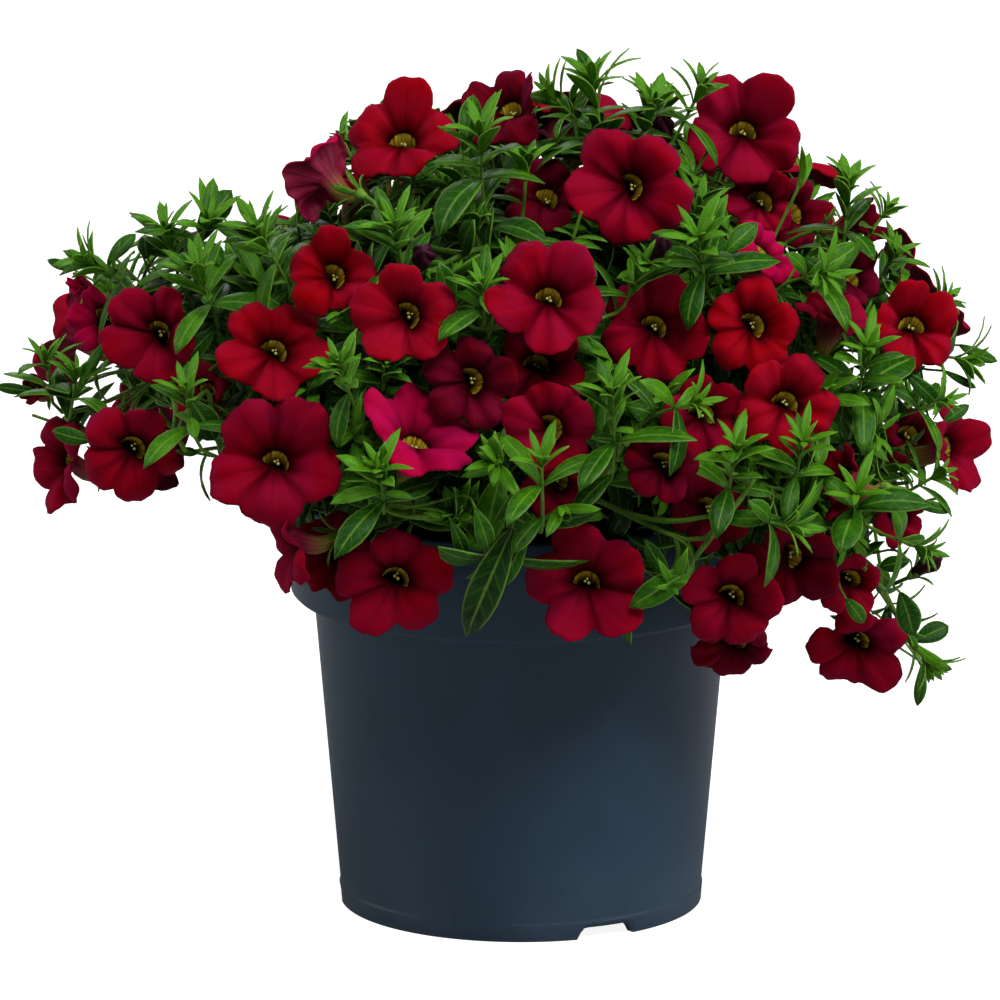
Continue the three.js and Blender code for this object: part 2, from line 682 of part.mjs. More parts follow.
/** The leafy end of a shoot: whorls of three, spread low down and upright above. */
function leafyShoot(shoot, blocked) {
  const skin = new Skin();
  const sideways = sidewaysOf(shoot.direction);
  const across = shoot.direction.clone().cross(sideways);
  let ring = growStem(skin, shoot.path, sideways, STEM_SIDES, STEM_RADIUS, STEM_RADIUS * 0.9);
  const whorls = Math.max(1, Math.round(shoot.length / WHORL_STEP));
  for (let whorl = 0; whorl < whorls; whorl += 1) {
    const share = whorls > 1 ? whorl / (whorls - 1) : 0.25;
    const angle = LOW_LEAF_ANGLE + (TOP_LEAF_ANGLE - LOW_LEAF_ANGLE) * share;
    const height = (shoot.length * (whorl + 0.4)) / whorls;
    const twist = whorl * 60;
    const thickness = STEM_RADIUS * (0.9 - 0.2 * share);
    const frameAt = (up) => new THREE.Matrix4().makeBasis(sideways, across, shoot.direction)
      .setPosition(at(shoot.base, shoot.direction, up));
    const turns = evenTurns(STEM_SIDES, twist);
    const lower = skin.ring(frameAt(height), turns, thickness, 0);
    const upper = skin.ring(frameAt(height + LEAF_ROOT), turns, thickness, 0);
    skin.join(ring, lower);
    for (let side = 0; side < STEM_SIDES; side += 1) {
      const seed = shoot.seed * 20 + whorl * 3 + side;
      const next = (side + 1) % STEM_SIDES;
      const quad = [lower.ids[side], lower.ids[next], upper.ids[next], upper.ids[side]];
      const turn = degToRad(turns[side] + 60);
      const out = sideways.clone().multiplyScalar(Math.cos(turn)).addScaledVector(across, Math.sin(turn));
      const root = at(at(shoot.base, shoot.direction, height + LEAF_ROOT / 2), out, thickness / 2);
      const length = shoot.leaf * (0.9 + 0.15 * draw(seed + 7)) * (1 - 0.25 * share);
      const tilts = [0, -9, 8];
      const blade = tilts.map((tilt) => leafBlade(root, shoot.direction, out, angle + tilt, length, seed))
        .find((option) => {
          const alone = new Skin();
          const corners = quad.map((id) => new THREE.Vector3().fromArray(skin.places, id * 3));
          const rootIds = corners.map((corner) => alone.point(corner));
          alone.cap(rootIds, true);
          bladeOnto(alone, rootIds, option);
          return clearOf(placed(alone.solid()), blocked);
        });
      if (blade) bladeOnto(skin, quad, blade);
      else skin.cap(quad, false);
    }
    ring = upper;
  }
  const tip = at(shoot.base, shoot.direction, shoot.length + 2.5);
  skin.close(ring.ids, skin.point(tip));
  return skin.solid();
}

function frontShoots() {
  return SHOOTS.map(([column, row, turn, lean, length, leaf, back], i) => {
    const angle = degToRad(turn);
    const out = degToRad(lean);
    const direction = new THREE.Vector3(Math.cos(angle) * Math.cos(out), 0, 0)
      .addScaledVector(VIEW_UP, Math.sin(angle) * Math.cos(out))
      .addScaledVector(VIEW_OUT, Math.sin(out));
    const base = at(crownPlace(column, row, back), direction, -length / 2);
    return { base, direction, length, leaf, seed: i + 1 };
  });
}

function rearShoots() {
  const blooms = rearBlooms();
  const sites = Array.from({ length: REAR_SHOOT_SITES }, (_, i) => {
    const share = (i * GOLDEN + 0.8) % 1;
    const bearing = REAR.from - 6 + ((REAR.to - REAR.from + 12) * (i + 0.5)) / REAR_SHOOT_SITES;
    const steepness = REAR.low + 6 + (REAR.high - REAR.low) * share;
    const { place, outward } = crownBearing(bearing, steepness);
    const direction = outward.clone().addScaledVector(Z_AXIS, 0.35).normalize();
    const length = 16 + 8 * draw(i + 90);
    const leafEnds = (spot) => [at(spot, direction, 0.3 * length + LEAF_TIP_REACH), spot];
    const tucked = tuckedIn(place, outward.clone().negate(), leafEnds);
    const base = at(tucked, direction, -0.7 * length);
    return { place: tucked, base, direction, length, leaf: REAR_LEAF, seed: i + 101 };
  });
  return sites.filter(({ place }) => blooms.every((bloom) => bloom.place.distanceTo(place) > SHOOT_ROOM));
}

// ---- pot and soil --------------------------------------------------------------------

function lathe(profile, sides) {
  return solidOf(new THREE.LatheGeometry(profile.map(([r, z]) => new THREE.Vector2(r, z)), sides)
    .rotateX(Math.PI / 2));
}

function potSolid() {
  const seam = FOOT_HEIGHT + SEAM_STEP;
  const innerFoot = FOOT_RADIUS - WALL;
  const innerTop = BODY_TOP_RADIUS - WALL;
  const floor = FOOT_HEIGHT + WALL;
  const profile = [
    [0, 0], [CENTRE_FOOT_RADIUS, 0], [CENTRE_FOOT_RADIUS, FOOT_HEIGHT],
    [innerFoot - 0.4, FOOT_HEIGHT], [innerFoot - 0.4, 0],
    [FOOT_RADIUS, 0], [FOOT_RADIUS + 0.4, FOOT_HEIGHT], [FOOT_RADIUS + 0.4 - SEAM_STEP, seam],
    [BODY_TOP_RADIUS, BAND_BOTTOM], [BAND_RADIUS - BAND_EDGE, BAND_BOTTOM],
    [BAND_RADIUS, BAND_BOTTOM + BAND_EDGE], [BAND_TOP_RADIUS, POT_HEIGHT - WALL / 2],
    [BAND_TOP_RADIUS - WALL / 2, POT_HEIGHT], [BAND_TOP_RADIUS - WALL, POT_HEIGHT],
    [BAND_RADIUS - WALL - 0.3, BAND_BOTTOM + WALL], [innerTop, BAND_BOTTOM + WALL],
    [innerFoot, floor], [0, floor],
  ];
  let pot = lathe(profile, POT_SIDES);
  for (let i = 0; i < NOTCH.count; i += 1) {
    const half = NOTCH.width / 2;
    const top = half - NOTCH.slope;
    const shoulder = half - NOTCH.slope * 0.3;
    const outline = new THREE.Shape([
      new THREE.Vector2(-half, -1), new THREE.Vector2(half, -1),
      new THREE.Vector2(shoulder, NOTCH.height - 1), new THREE.Vector2(top, NOTCH.height),
      new THREE.Vector2(-top, NOTCH.height), new THREE.Vector2(-shoulder, NOTCH.height - 1),
    ]);
    const cutter = new THREE.ExtrudeGeometry(outline, { depth: 10, bevelEnabled: false });
    cutter.rotateX(Math.PI / 2).translate(0, -FOOT_RADIUS + 5, 0);
    cutter.rotateZ(degToRad(NOTCH.turn + (360 / NOTCH.count) * i));
    pot = pot.subtract(solidOf(cutter));
  }
  for (let i = 0; i < DRAIN.count; i += 1) {
    const hole = new THREE.CylinderGeometry(DRAIN.radius, DRAIN.radius, 4, DRAIN.sides);
    hole.rotateX(Math.PI / 2).translate(DRAIN.ring, 0, FOOT_HEIGHT + WALL / 2);
    hole.rotateZ(degToRad(30 + (360 / DRAIN.count) * i));
    pot = pot.subtract(solidOf(hole));
  }
  return pot;
}

function soilSolid(trunks) {
  const floor = FOOT_HEIGHT + WALL + GAP;
  const ledge = BAND_BOTTOM + WALL + GAP;
  const profile = [
    [0, floor], [FOOT_RADIUS - WALL - GAP, floor], [BODY_TOP_RADIUS - WALL - GAP - 0.1, ledge],
    [BAND_RADIUS - WALL - 2.2 * GAP, ledge], [BAND_TOP_RADIUS - WALL - 2.2 * GAP, SOIL_EDGE_HEIGHT],
    [BAND_RADIUS * 0.6, SOIL_MOUND_HEIGHT - 0.8], [0, SOIL_MOUND_HEIGHT],
  ];
  let soil = lathe(profile, SOIL_SIDES);
  trunks.forEach(({ foot }) => {
    const radius = TRUNK_RADIUS + HOLE_CLEARANCE;
    const bottom = TRUNK_FOOT - GAP;
    const hole = new THREE.CylinderGeometry(radius, radius, 24, HOLE_SIDES).rotateX(Math.PI / 2);
    hole.translate(foot.x, foot.y, bottom + 12);
    soil = soil.subtract(solidOf(hole));
  });
  return soil;
}

// ---- the plant -------------------------------------------------------------------------

function growPlant(trunks, pot, soil) {
  const blooms = [...frontBlooms(), ...rearBlooms()];
  blooms.forEach((bloom, i) => { bloom.fused = i >= BLOOM_NODES; });
  placeBlooms(blooms);
  const branches = trunks.map(({ solid }) => [solid]);
  const stems = trunks.map(({ solid }, branch) => placed(solid, branch));
  const rim = [placed(pot), placed(soil)];
  const bloomBodies = (own) => blooms.flatMap((bloom) => {
    if (bloom !== own) return [bloom.corolla, bloom.stub];
    return bloom.fused ? [] : [bloom.corolla];
  });
  const forks = trunks.flatMap(({ path }, branch) => forkPoints(path, stems[branch], 2));

  const shoots = [...frontShoots(), ...rearShoots()];
  shoots.forEach((shoot, i) => {
    const axisEnd = at(shoot.base, shoot.direction, shoot.length);
    const build = (path) => {
      const skin = new Skin();
      const sideways = sidewaysOf(shoot.direction);
      const whole = [...path, axisEnd];
      const ring = growStem(skin, whole, sideways, STEM_SIDES, STEM_RADIUS, STEM_RADIUS);
      skin.cap(ring.ids, false);
      return skin.solid();
    };
    const blocked = [...rim, ...bloomBodies(), ...stems];
    const route = rootedStem(forks, shoot.base, shoot.direction, 3, build, blocked);
    if (!route) throw new Error(`no clear way for shoot ${i}`);
    shoot.path = route.path;
    shoot.stem = route.item;
    stems.push(route.item);
    forks.push(...forkPoints(route.path, route.item, 1));
  });

  blooms.forEach((bloom, i) => {
    const build = (path) => stalkAndCalyx(bloom, path);
    const blocked = [...rim, ...bloomBodies(bloom), ...stems];
    const route = rootedStem(forks, stalkEnd(bloom), bloom.facing, 2, build, blocked);
    if (!route) throw new Error(`no clear way for the stalk of bloom ${i}`);
    stems.push(route.item);
    branches[route.item.branch].push(route.item.solid);
    if (bloom.fused) branches[route.item.branch].push(bloom.corolla.solid);
  });

  shoots.forEach((shoot) => {
    const strangers = stems.filter((item) => item !== shoot.stem);
    const solid = leafyShoot(shoot, [...rim, ...bloomBodies(), ...strangers]);
    stems.push(placed(solid, shoot.stem.branch));
    branches[shoot.stem.branch].push(solid);
  });

  const sprays = branches.map((solids) => {
    const joined = wasm.Manifold.union(solids).asOriginal().simplify(JOIN_TOLERANCE);
    const bodies = joined.decompose().sort((one, other) => other.volume() - one.volume());
    return bodies[0];
  });
  return { blooms, sprays };
}

// ---- assembly ----------------------------------------------------------------------------

const number = (i) => String(i + 1).padStart(2, '0');
const group = new THREE.Group();
const pot = potSolid();
const trunks = growTrunks();
const soil = soilSolid(trunks);
const plant = growPlant(trunks, pot, soil);

group.add(meshOf('pot', pot, POT_PLASTIC));
group.add(meshOf('soil', soil, SOIL_BROWN));
plant.sprays.forEach((solid, i) => group.add(meshOf(`spray_${number(i)}`, solid, LEAF_GREEN)));
plant.blooms.slice(0, BLOOM_NODES).forEach(({ corolla: { solid }, tone }, i) => {
  group.add(meshOf(`bloom_${number(i)}`, solid, PETAL_REDS[tone]));
});

export default group;
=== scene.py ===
"""A bushy red mini petunia in a slate-blue nursery pot, finished for a studio picture."""

import math
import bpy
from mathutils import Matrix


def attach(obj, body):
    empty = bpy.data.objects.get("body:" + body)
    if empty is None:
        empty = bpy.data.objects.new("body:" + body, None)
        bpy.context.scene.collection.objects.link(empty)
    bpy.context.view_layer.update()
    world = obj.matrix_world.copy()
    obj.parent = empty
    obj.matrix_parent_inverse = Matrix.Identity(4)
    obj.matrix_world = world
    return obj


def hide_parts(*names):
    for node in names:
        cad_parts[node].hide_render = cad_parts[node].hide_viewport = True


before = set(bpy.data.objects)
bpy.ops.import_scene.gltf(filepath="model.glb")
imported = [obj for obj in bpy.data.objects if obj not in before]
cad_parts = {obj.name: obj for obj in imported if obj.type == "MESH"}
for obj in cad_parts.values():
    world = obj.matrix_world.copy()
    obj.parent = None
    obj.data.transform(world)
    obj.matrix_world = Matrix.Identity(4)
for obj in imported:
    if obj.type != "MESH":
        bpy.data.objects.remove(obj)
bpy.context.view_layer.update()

from types import SimpleNamespace

import bmesh
import bpy
from mathutils import Matrix, Vector, noise
from mathutils.bvhtree import BVHTree
from mathutils.geometry import interpolate_bezier
from mathutils.kdtree import KDTree

BODY = "root"

# ---- sizes, in millimetres --------------------------------------------------------

MM = 0.001

# Pot and soil.
WALL = 1.2
FOOT_RADIUS = 51.0
FOOT_HEIGHT = 5.0
FOOT_FLARE = 0.4
SEAM_STEP = 0.35
BODY_TOP_RADIUS = 58.5
BAND_BOTTOM = 89.2
BAND_RADIUS = 64.9
BAND_TOP_RADIUS = 65.0
POT_HEIGHT = 118.5
BAND_EDGE = 1.3
POT_STEPS = 300
EDGE_ROUNDING = 0.28
NOTCH = SimpleNamespace(count=3, turn=27.7, width=17.0, height=3.4, slope=2.2)
CENTRE_FOOT_RADIUS = 9.0
DRAIN = SimpleNamespace(count=6, ring=33.0, radius=5.0, start=30.0, steps=24)
SOIL_GAP = 0.35
SOIL_EDGE_HEIGHT = 112.5
SOIL_MOUND_HEIGHT = 116.0
SOIL_STEPS = 120
SOIL_WAVE = 0.9
SOIL_SAG = 0.3
SOIL_RINGS = 14
SOIL_CRUMBS = 700
CRUMB_SIZE = (0.7, 1.9)

# Crown: an egg shape that the blooms and shoots end on.
CROWN_MIDDLE = Vector((-6.8, 0, 138))
CROWN_REACH = Vector((137, 112, 103))

# Bloom.
LOBES = 5
THROAT_RADIUS = 3.4
FUNNEL_RISE = 0.4
NOTCH_SHARE = 0.75
NOTCH_SOLID_SHARE = 0.86  # of the plain solids
NOTCH_SINK = 0.9
PETAL_THICKNESS = 0.4
TUBE_LENGTH = 13.0
TUBE_BASE_RADIUS = 1.3
TUBE_SHARE = 0.3          # share of a petal's length that lies in the tube
TUBE_LEAN = 2.4
THROAT_FLARE = 1.12       # width of the throat, as a share of the solid's
# The gold side of the throat is also the side its painted light falls on; the other side is painted in shade.
GOLD_SIDE = (20, 85)      # degrees: the side of the throat that shows its gold wall
THROAT_CUT = 0.22         # how far the straight lip opposite it is from the middle, as a share
WIDTH_TO_RADIUS = 1.93
CALYX_GAP = 0.45
CALYX_RADIUS = 1.8
CALYX_HEIGHT = 1.8
SEPAL_LENGTH = 8.6
SEPAL_SPREAD = 5.0
SEPAL_RISE = 6.5
SEPAL_WIDTH_SHARE = 0.2
SEPAL_TINT = 0.7
CALYX_TINT = 0.75
RETREAT_STEP = 1.5
RETREAT_LIMIT = 24
ROUND_FACES = 80
PETAL_ROWS = 20           # six of them in the tube
BUD_OPENNESS = 0.5        # less open than this is a bud
BUD_FULLNESS = 0.46       # of the bloom's radius
BUD_PLEAT = 0.42
VEINS_A_LOBE = 3.0
SEAM_GAP = 0.002          # closer corners of a corolla are one, as along its seam

# How far the lobes of a corolla differ, as shares of its radius or as powers.
LOBE_BLUNT = (1.9, 3.4)
LOBE_SWELL = (-0.1, 0.03)
LOBE_SKEW = (-0.045, 0.045)
LOBE_TILT = (-0.26, 0.16)
LOBE_TWIST = (-0.2, 0.2)
LOBE_PLEAT = (-0.07, 0.07)
LOBE_DOME = 0.24
NOTCH_DROP = (-0.07, 0.09)
CREASE_DEPTH = (0.06, 0.14)
CREASE_WIDTH = 0.26
RIB_WIDTH = 0.14
RIB_DEPTH = 0.3           # mm
# Stigma and anthers: beside and out from the middle, depth in the throat, and radius.
STAMENS = [(-0.55, 0.5, 0.9, 0.5), (0.55, 0.75, 1.0, 0.42), (0.1, 1.5, 2.0, 0.36)]

# Leaves and stems.
LEAF_THICKNESS = 0.34
LEAF_WIDTH_SHARE = 0.36
WHORL_STEP = 8.0
SHORT_SHOOT = 7.0         # a shorter leafy part has one whorl and no tight tip
LOW_LEAF_ANGLE = 74.0
TOP_LEAF_ANGLE = 18.0
LEAF_ROWS = 6
LEAF_DROOP = (0.18, 0.38)
LEAF_PLUMPNESS = (0.8, 1.2)
LEAF_FOLD = (0.05, 0.45)
LEAF_BLUNT = (0.62, 0.95)
LEAF_TIP_TURN = 0.12
LONE_LEAF_ANGLE = -10.0
TRIED_TILTS = (0, -14, 12, -28)
TIP_LEAVES = 8
TIP_LEAF_WIDTH_SHARE = 0.19
STEM_LEAF_STEP = 4.6
STEM_LEAF_ANGLES = (58, 92)
SIDE_VEINS = 7.0
GOLDEN_ANGLE = 137.5
GOLDEN = 0.618034
TRUNK_RADIUS = 1.7
TRUNK_FOOT = 99.5
TRUNK_REACH = 64.0
STEM_RADIUS = 0.95
TIP_RADIUS = 0.45
STALK_RADIUS = 0.6
TURN_BACK = 25.0
FORK_CLEARANCE = 9.0
FORKS_TRIED = 16
STEM_FULLNESS = (0.38, 0.6, 0.2)
STEM_STEPS = 8
SKIN_SHARE = 0.9

# Trunks out of the soil: bearing from the front (+ turns right) and steepness.
TRUNKS = [
    (0, 16), (40, 14), (80, 12), (120, 14), (160, 16), (200, 16), (240, 14),
    (280, 12), (320, 14), (20, 50), (92, 50), (164, 50), (236, 50), (308, 50),
]

# ---- the front view ---------------------------------------------------------------
# Blooms and shoots in front are sited by the column and row where they are seen from
# a point far in front and a little above.

VIEW_TILT = math.radians(13.6)
MM_PER_POINT = 0.2818
AXIS_COLUMN = 521
FOOT_ROW = 898
PICTURE_SIZE = 1000
CAMERA_DISTANCE = 5.0     # metres
SENSOR = 36.0
FLOOR_SIZE = 6.0          # metres, and so are the panels
FLOOR_TONE = 0.4
FLOOR_GLOW = 0.9
SKY_STRENGTH = 0.03
AIM_HEIGHT = 0.13

# Soft panels: name, place, width, height and power (W).
PANELS = [
    ("left panel", (-3.0, 0.6, 1.4), 1.4, 2.4, 43),
    ("right panel", (2.9, -0.7, 2.0), 1.5, 1.8, 79),
    ("front panel", (0.8, -2.4, 2.8), 1.2, 1.2, 72),
    ("back panel", (-0.8, 3.0, 2.0), 1.6, 1.6, 30),
    ("top panel", (-0.3, -0.8, 3.0), 1.3, 1.3, 26),
]

# Blooms from front to back: column, row, width in points, yaw (+ faces right),
# pitch (+ faces up), angle of one lobe, set back (mm), openness, tone.
# Tone 2, dark, is the petals' red in painted shade, for blooms that sit in shadow.
BLOOMS = [
    (277, 460, 136, -5, 10, 54, 0, 1, 1),
    (426, 430, 125, 28, 42, 150, 6, 1, 3),
    (547, 300, 119, 0, 12, 54, 0, 1, 1),
    (625, 190, 125, -5, 5, 48, 0, 1, 1),
    (743, 132, 119, 5, 12, 54, 0, 1, 1),
    (397, 125, 114, -12, 30, 83, 0, 1, 0),
    (405, 318, 104, -8, 5, 95, 0, 1, 0),
    (277, 352, 110, 0, 10, 56, 0, 1, 0),
    (155, 335, 104, -20, 5, 60, 0, 1, 1),
    (135, 452, 103, 0, -15, 64, 0, 1, 1),
    (397, 585, 115, 0, -15, 20, 14, 1, 1),
    (585, 583, 121, 0, 0, 100, 14, 1, 1),
    (727, 600, 100, 0, -10, 80, 8, 1, 1),
    (783, 405, 103, 10, 5, 60, 0, 1, 0),
    (748, 325, 100, 5, -3, 8, 0, 1, 0),
    (912, 328, 90, 15, 10, 28, 0, 1, 0),
    (857, 655, 100, 10, -38, 30, 0, 1, 1),
    (958, 450, 92, 62, 0, 20, 0, 1, 1),
    (55, 465, 100, -68, 0, 40, 0, 1, 1),
    (333, 275, 91, -5, 20, 90, 0, 1, 0),
    (470, 385, 94, 0, -3, 80, 4, 1, 2),
    (658, 468, 74, 0, -5, 80, 0, 1, 2),
    (318, 178, 92, -130, 20, 60, 0, 1, 3),
    (500, 108, 92, -35, 30, 100, 6, 1, 2),
    (832, 311, 84, 30, 55, 20, 4, 1, 1),
    (282, 545, 96, -70, -10, 30, 2, 1, 1),
    (548, 430, 97, 0, 0, 90, 8, 1, 1),
    (650, 330, 110, 0, 5, 64, 12, 1, 1),
    (790, 565, 100, 15, -25, 40, 8, 1, 2),
    (730, 655, 84, 0, -50, 50, 12, 1, 2),
    (335, 555, 88, -25, -10, 70, 14, 1, 2),
    (33, 390, 42, -30, 0, 60, 0, 0.75, 2),
    (96, 320, 66, -35, 10, 30, 10, 1, 3),
    (80, 286, 46, -50, 20, 30, 0, 0.5, 3),
    (537, 370, 92, 5, 0, 50, 20, 1, 1),
    (757, 203, 70, 0, 12, 40, 22, 1, 1),
    (770, 252, 76, 60, 30, 30, 10, 1, 3),
    (797, 213, 78, 30, 10, 70, 24, 1, 2),
    (870, 221, 66, 60, 10, 20, 0, 0.7, 2),
    (850, 273, 70, 30, 30, 50, 20, 1, 2),
    (541, 195, 88, -10, 30, 80, 26, 1, 2),
    (700, 418, 84, 10, 0, 30, 16, 1, 1),
    (832, 482, 76, -60, 5, 60, 8, 1, 1),
    (706, 512, 84, 10, -5, 45, 20, 1, 2),
    (912, 440, 62, 30, -5, 20, 22, 1, 2),
    (900, 522, 60, 40, -20, 50, 12, 1, 1),
    (556, 492, 70, 10, -40, 30, 18, 1, 1),
    (848, 588, 66, 20, -30, 20, 8, 1, 1),
    (200, 395, 70, -40, 10, 10, 22, 1, 1),
    (660, 243, 30, 20, 40, 0, 0, 0.25, 3),
    (660, 120, 34, -10, 40, 0, 10, 0.3, 3),
    (425, 257, 34, 0, 20, 0, 0, 0.4, 2),
    (935, 556, 30, 50, 30, 0, 4, 0.3, 3),
]

# Blooms that are seen a little beside their plain solids: columns right and rows down.
SHIFTED = {6: (2, 12), 10: (2, 4), 15: (0, 6)}

# Shoots in front: column and row of the leafy part's middle, direction in the view
# (90 is up), lean to the viewer, leafy length, leaf length, set back (mm).
SHOOTS = [
    (178, 262, 105, 25, 14, 14, 4),
    (205, 245, 70, 30, 8, 18, 4),
    (118, 278, 150, 20, 12, 17, 2),
    (55, 387, 98, 15, 10, 14, 0),
    (275, 258, 120, 35, 14, 15, 2),
    (482, 172, 92, 30, 16, 18, 0),
    (400, 255, 100, 45, 14, 16, 2),
    (598, 128, 98, 15, 20, 18, 2),
    (570, 118, 138, 20, 12, 15, 6),
    (642, 135, 70, 20, 12, 14, 4),
    (687, 116, 62, 15, 12, 12, -6),
    (842, 222, 85, 20, 16, 14, -4),
    (868, 234, 55, 10, 10, 12, -2),
    (880, 276, 60, 30, 10, 13, 19),
    (922, 312, 30, 10, 8, 12, 10),
    (934, 357, -8, 0, 10, 16, 0),
    (698, 268, 100, 50, 16, 18, 0),
    (802, 281, 10, 45, 8, 17, 2),
    (611, 430, 92, 35, 18, 18, 0),
    (672, 410, 15, 35, 8, 15, 0),
    (541, 485, 92, 40, 10, 17, 0),
    (726, 478, 80, 40, 16, 16, -3),
    (765, 522, -12, 30, 8, 18, -4),
    (350, 388, 110, 50, 14, 14, 2),
    (385, 492, 95, 55, 16, 16, 0),
    (495, 552, -82, 20, 6, 20, 14),
    (484, 312, 95, 30, 8, 16, 8),
    (792, 468, 80, 45, 14, 16, -3),
    (856, 380, 80, 45, 18, 17, 0),
    (915, 410, 20, 30, 10, 13, 2),
    (850, 508, 90, 55, 8, 17, -7),
    (915, 485, 30, 20, 8, 12, 4),
    (895, 540, -20, 20, 10, 14, -5),
    (895, 617, -57, 5, 26, 14, 4),
    (78, 400, 80, 20, 10, 14, 2),
    (196, 418, 100, 40, 14, 15, 2),
    (632, 600, 205, 30, 6, 15, 18),
    (212, 298, 110, 40, 14, 16, 2),
]

# Single leaves: column and row of root and tip, width in points, set back (mm), tint (age of green and
# painted shade together).
LONE_LEAVES = [
    (512, 528, 461, 640, 31, 3, 0.12), (526, 540, 496, 583, 19, 3, 0.4), (452, 520, 470, 560, 17, 6, 0.25),
    (476, 508, 494, 553, 20, 2, 0.5), (202, 234, 238, 195, 26, 0, 0.45), (464, 156, 479, 98, 28, -8, 0.5),
    (598, 84, 574, 52, 14, 2, 0.5), (146, 255, 196, 243, 24, -2, 0.5), (897, 592, 914, 634, 21, 1, 0.3),
    (915, 641, 948, 622, 19, 1, 0.35), (921, 662, 953, 668, 11, 2, 0.5), (921, 664, 921, 708, 13, 1, 0.55),
    (880, 636, 889, 606, 12, 4, 0.35), (78, 272, 50, 261, 10, 4, 0.3), (38, 392, -2, 388, 9, 4, 0.3),
    (957, 346, 994, 366, 10, 4, 0.5), (690, 566, 627, 606, 26, 2, 0.55), (772, 517, 716, 521, 15, -4, 0.6),
    (720, 258, 752, 226, 20, -4, 0.55), (196, 402, 225, 442, 24, 6, 0.3), (800, 262, 846, 292, 24, 2, 0.4),
    (81, 398, 107, 337, 12, 0, 0.5), (58, 434, 93, 408, 14, 6, 0.1), (97, 441, 57, 436, 14, 4, 0.4),
    (112, 266, 137, 233, 16, -2, 0.5), (152, 262, 146, 237, 15, 0, 0.35), (940, 372, 974, 391, 9, 2, 0.4),
    (902, 376, 940, 408, 19, 2, 0.35), (938, 424, 966, 404, 13, 6, 0.4), (905, 502, 948, 510, 13, 2, 0.5),
    (842, 598, 862, 622, 13, 2, 0.55), (905, 560, 876, 566, 15, 2, 0.3), (182, 452, 203, 452, 9, 9, 0.4),
]

# Bare stems in plain sight: columns, rows and set back (mm), from the inner end on.
BARE_STEMS = [
    [(668, 592, 22), (684, 566, 8), (716, 525, 0), (735, 500, -4), (749, 479, -5)],
    [(846, 540, 26), (859, 566, 10), (880, 589, 4), (907, 637, 3), (921, 664, 2)],
    [(206, 396, 20), (188, 418, 12), (184, 440, 9), (191, 453, 9)],
    [(176, 392, 20), (181, 414, 12), (178, 440, 9), (166, 458, 11)],
]

# The hidden sides follow a rule: blooms and shoots spread evenly over the crown.
REAR = SimpleNamespace(first=98, last=264, low=-12, high=82)
REAR_BLOOMS = 18
REAR_BLOOM_WIDTH = 34.0
REAR_SHOOT_SITES = 26
SHOOT_ROOM = 17.0
REAR_LEAF = 17.0
LEAF_TIP_REACH = 11.0     # of the top leaves past the leafy part's end

# The crown's upper line in the front view, as columns and rows, which the hidden sides
# stay under too.
SKYLINE = [
    (-1, 900), (0, 386), (45, 300), (60, 261), (100, 237), (140, 205), (200, 205),
    (240, 212), (285, 200), (300, 143), (360, 100), (400, 78), (440, 103), (480, 84),
    (500, 74), (560, 83), (580, 60), (640, 66), (700, 80), (780, 88), (800, 126),
    (860, 175), (920, 250), (960, 308), (985, 360), (992, 900),
]
SKYLINE_MARGIN = 8

# The area that the dense foliage fills in that view. Outside it stand single shoots,
# leaves and blooms with white between them.
OUTLINE = [
    (118, 248), (150, 236), (190, 224), (235, 234), (285, 214), (305, 160), (350, 112),
    (400, 92), (440, 106), (480, 94), (560, 90), (590, 72), (640, 76), (700, 90), (780, 100),
    (800, 140), (835, 188), (872, 208), (880, 245), (915, 300), (938, 345), (928, 372),
    (908, 388), (928, 420), (900, 436), (922, 470), (930, 500), (912, 528), (882, 548),
    (858, 580), (800, 592), (720, 596), (640, 598), (600, 545), (530, 550), (475, 556),
    (455, 540), (430, 520), (330, 540), (290, 570), (262, 530), (226, 480), (222, 440),
    (200, 404), (150, 398), (112, 382), (106, 350), (96, 310), (92, 268),
]

# Leafy side shoots that fill the crown under its outer blooms, and ones deep in it that are darker with
# painted shade.
INNER = SimpleNamespace(sites=260, shares=(0.92, 0.82, 0.7), leaf=(14, 20), tint=0.12)
DEEP = SimpleNamespace(sites=210, shares=(0.6, 0.48, 0.34), leaf=(18, 24), tint=-0.3)
HANG_FLOOR = 106.0        # filling shoots outside the pot start above this
POT_ROOM = 6.0            # and the others this far over its rim
VIEW_CLEARANCE = 80.0     # free leaves don't stand this close before a front bloom
FIXED, BESIDE, WITHIN = range(3)  # always there; beside the front blooms; in the outline too

# ---- small helpers ----------------------------------------------------------------

X_AXIS = Vector((1, 0, 0))
Z_AXIS = Vector((0, 0, 1))
VIEW_OUT = Vector((0, -math.cos(VIEW_TILT), math.sin(VIEW_TILT)))
VIEW_UP = Vector((0, math.sin(VIEW_TILT), math.cos(VIEW_TILT)))


def draw(seed):
    """A fixed draw between 0 and 1."""
    value = math.sin(seed * 12.9898) * 43758.5453
    return value - math.floor(value)


def spread(seed, low, high):
    return low + (high - low) * draw(seed)


def turned(bearing):
    """The level direction at a bearing from the front, + to the right."""
    return Vector((math.sin(math.radians(bearing)), -math.cos(math.radians(bearing)), 0))


def stretched(one, other):
    return Vector((one.x * other.x, one.y * other.y, one.z * other.z))


def shrunk(one, other):
    return Vector((one.x / other.x, one.y / other.y, one.z / other.z))


def colour(red, green, blue):
    """A display colour, 0 to 255, as the linear colour that a shader takes."""
    def linear(value):
        share = value / 255
        return share / 12.92 if share <= 0.04045 else ((share + 0.055) / 1.055) ** 2.4
    return (linear(red), linear(green), linear(blue), 1.0)


def set_down(bm, name, material, slot, replaced=()):
    """Turns a bmesh in millimetres into a finished piece that rides on the body."""
    bmesh.ops.scale(bm, vec=(MM, MM, MM), verts=bm.verts)
    for face in bm.faces:
        face.smooth = True
    mesh = bpy.data.meshes.new(name)
    bm.to_mesh(mesh)
    bm.free()
    return add_piece(name, mesh, material, slot, replaced)


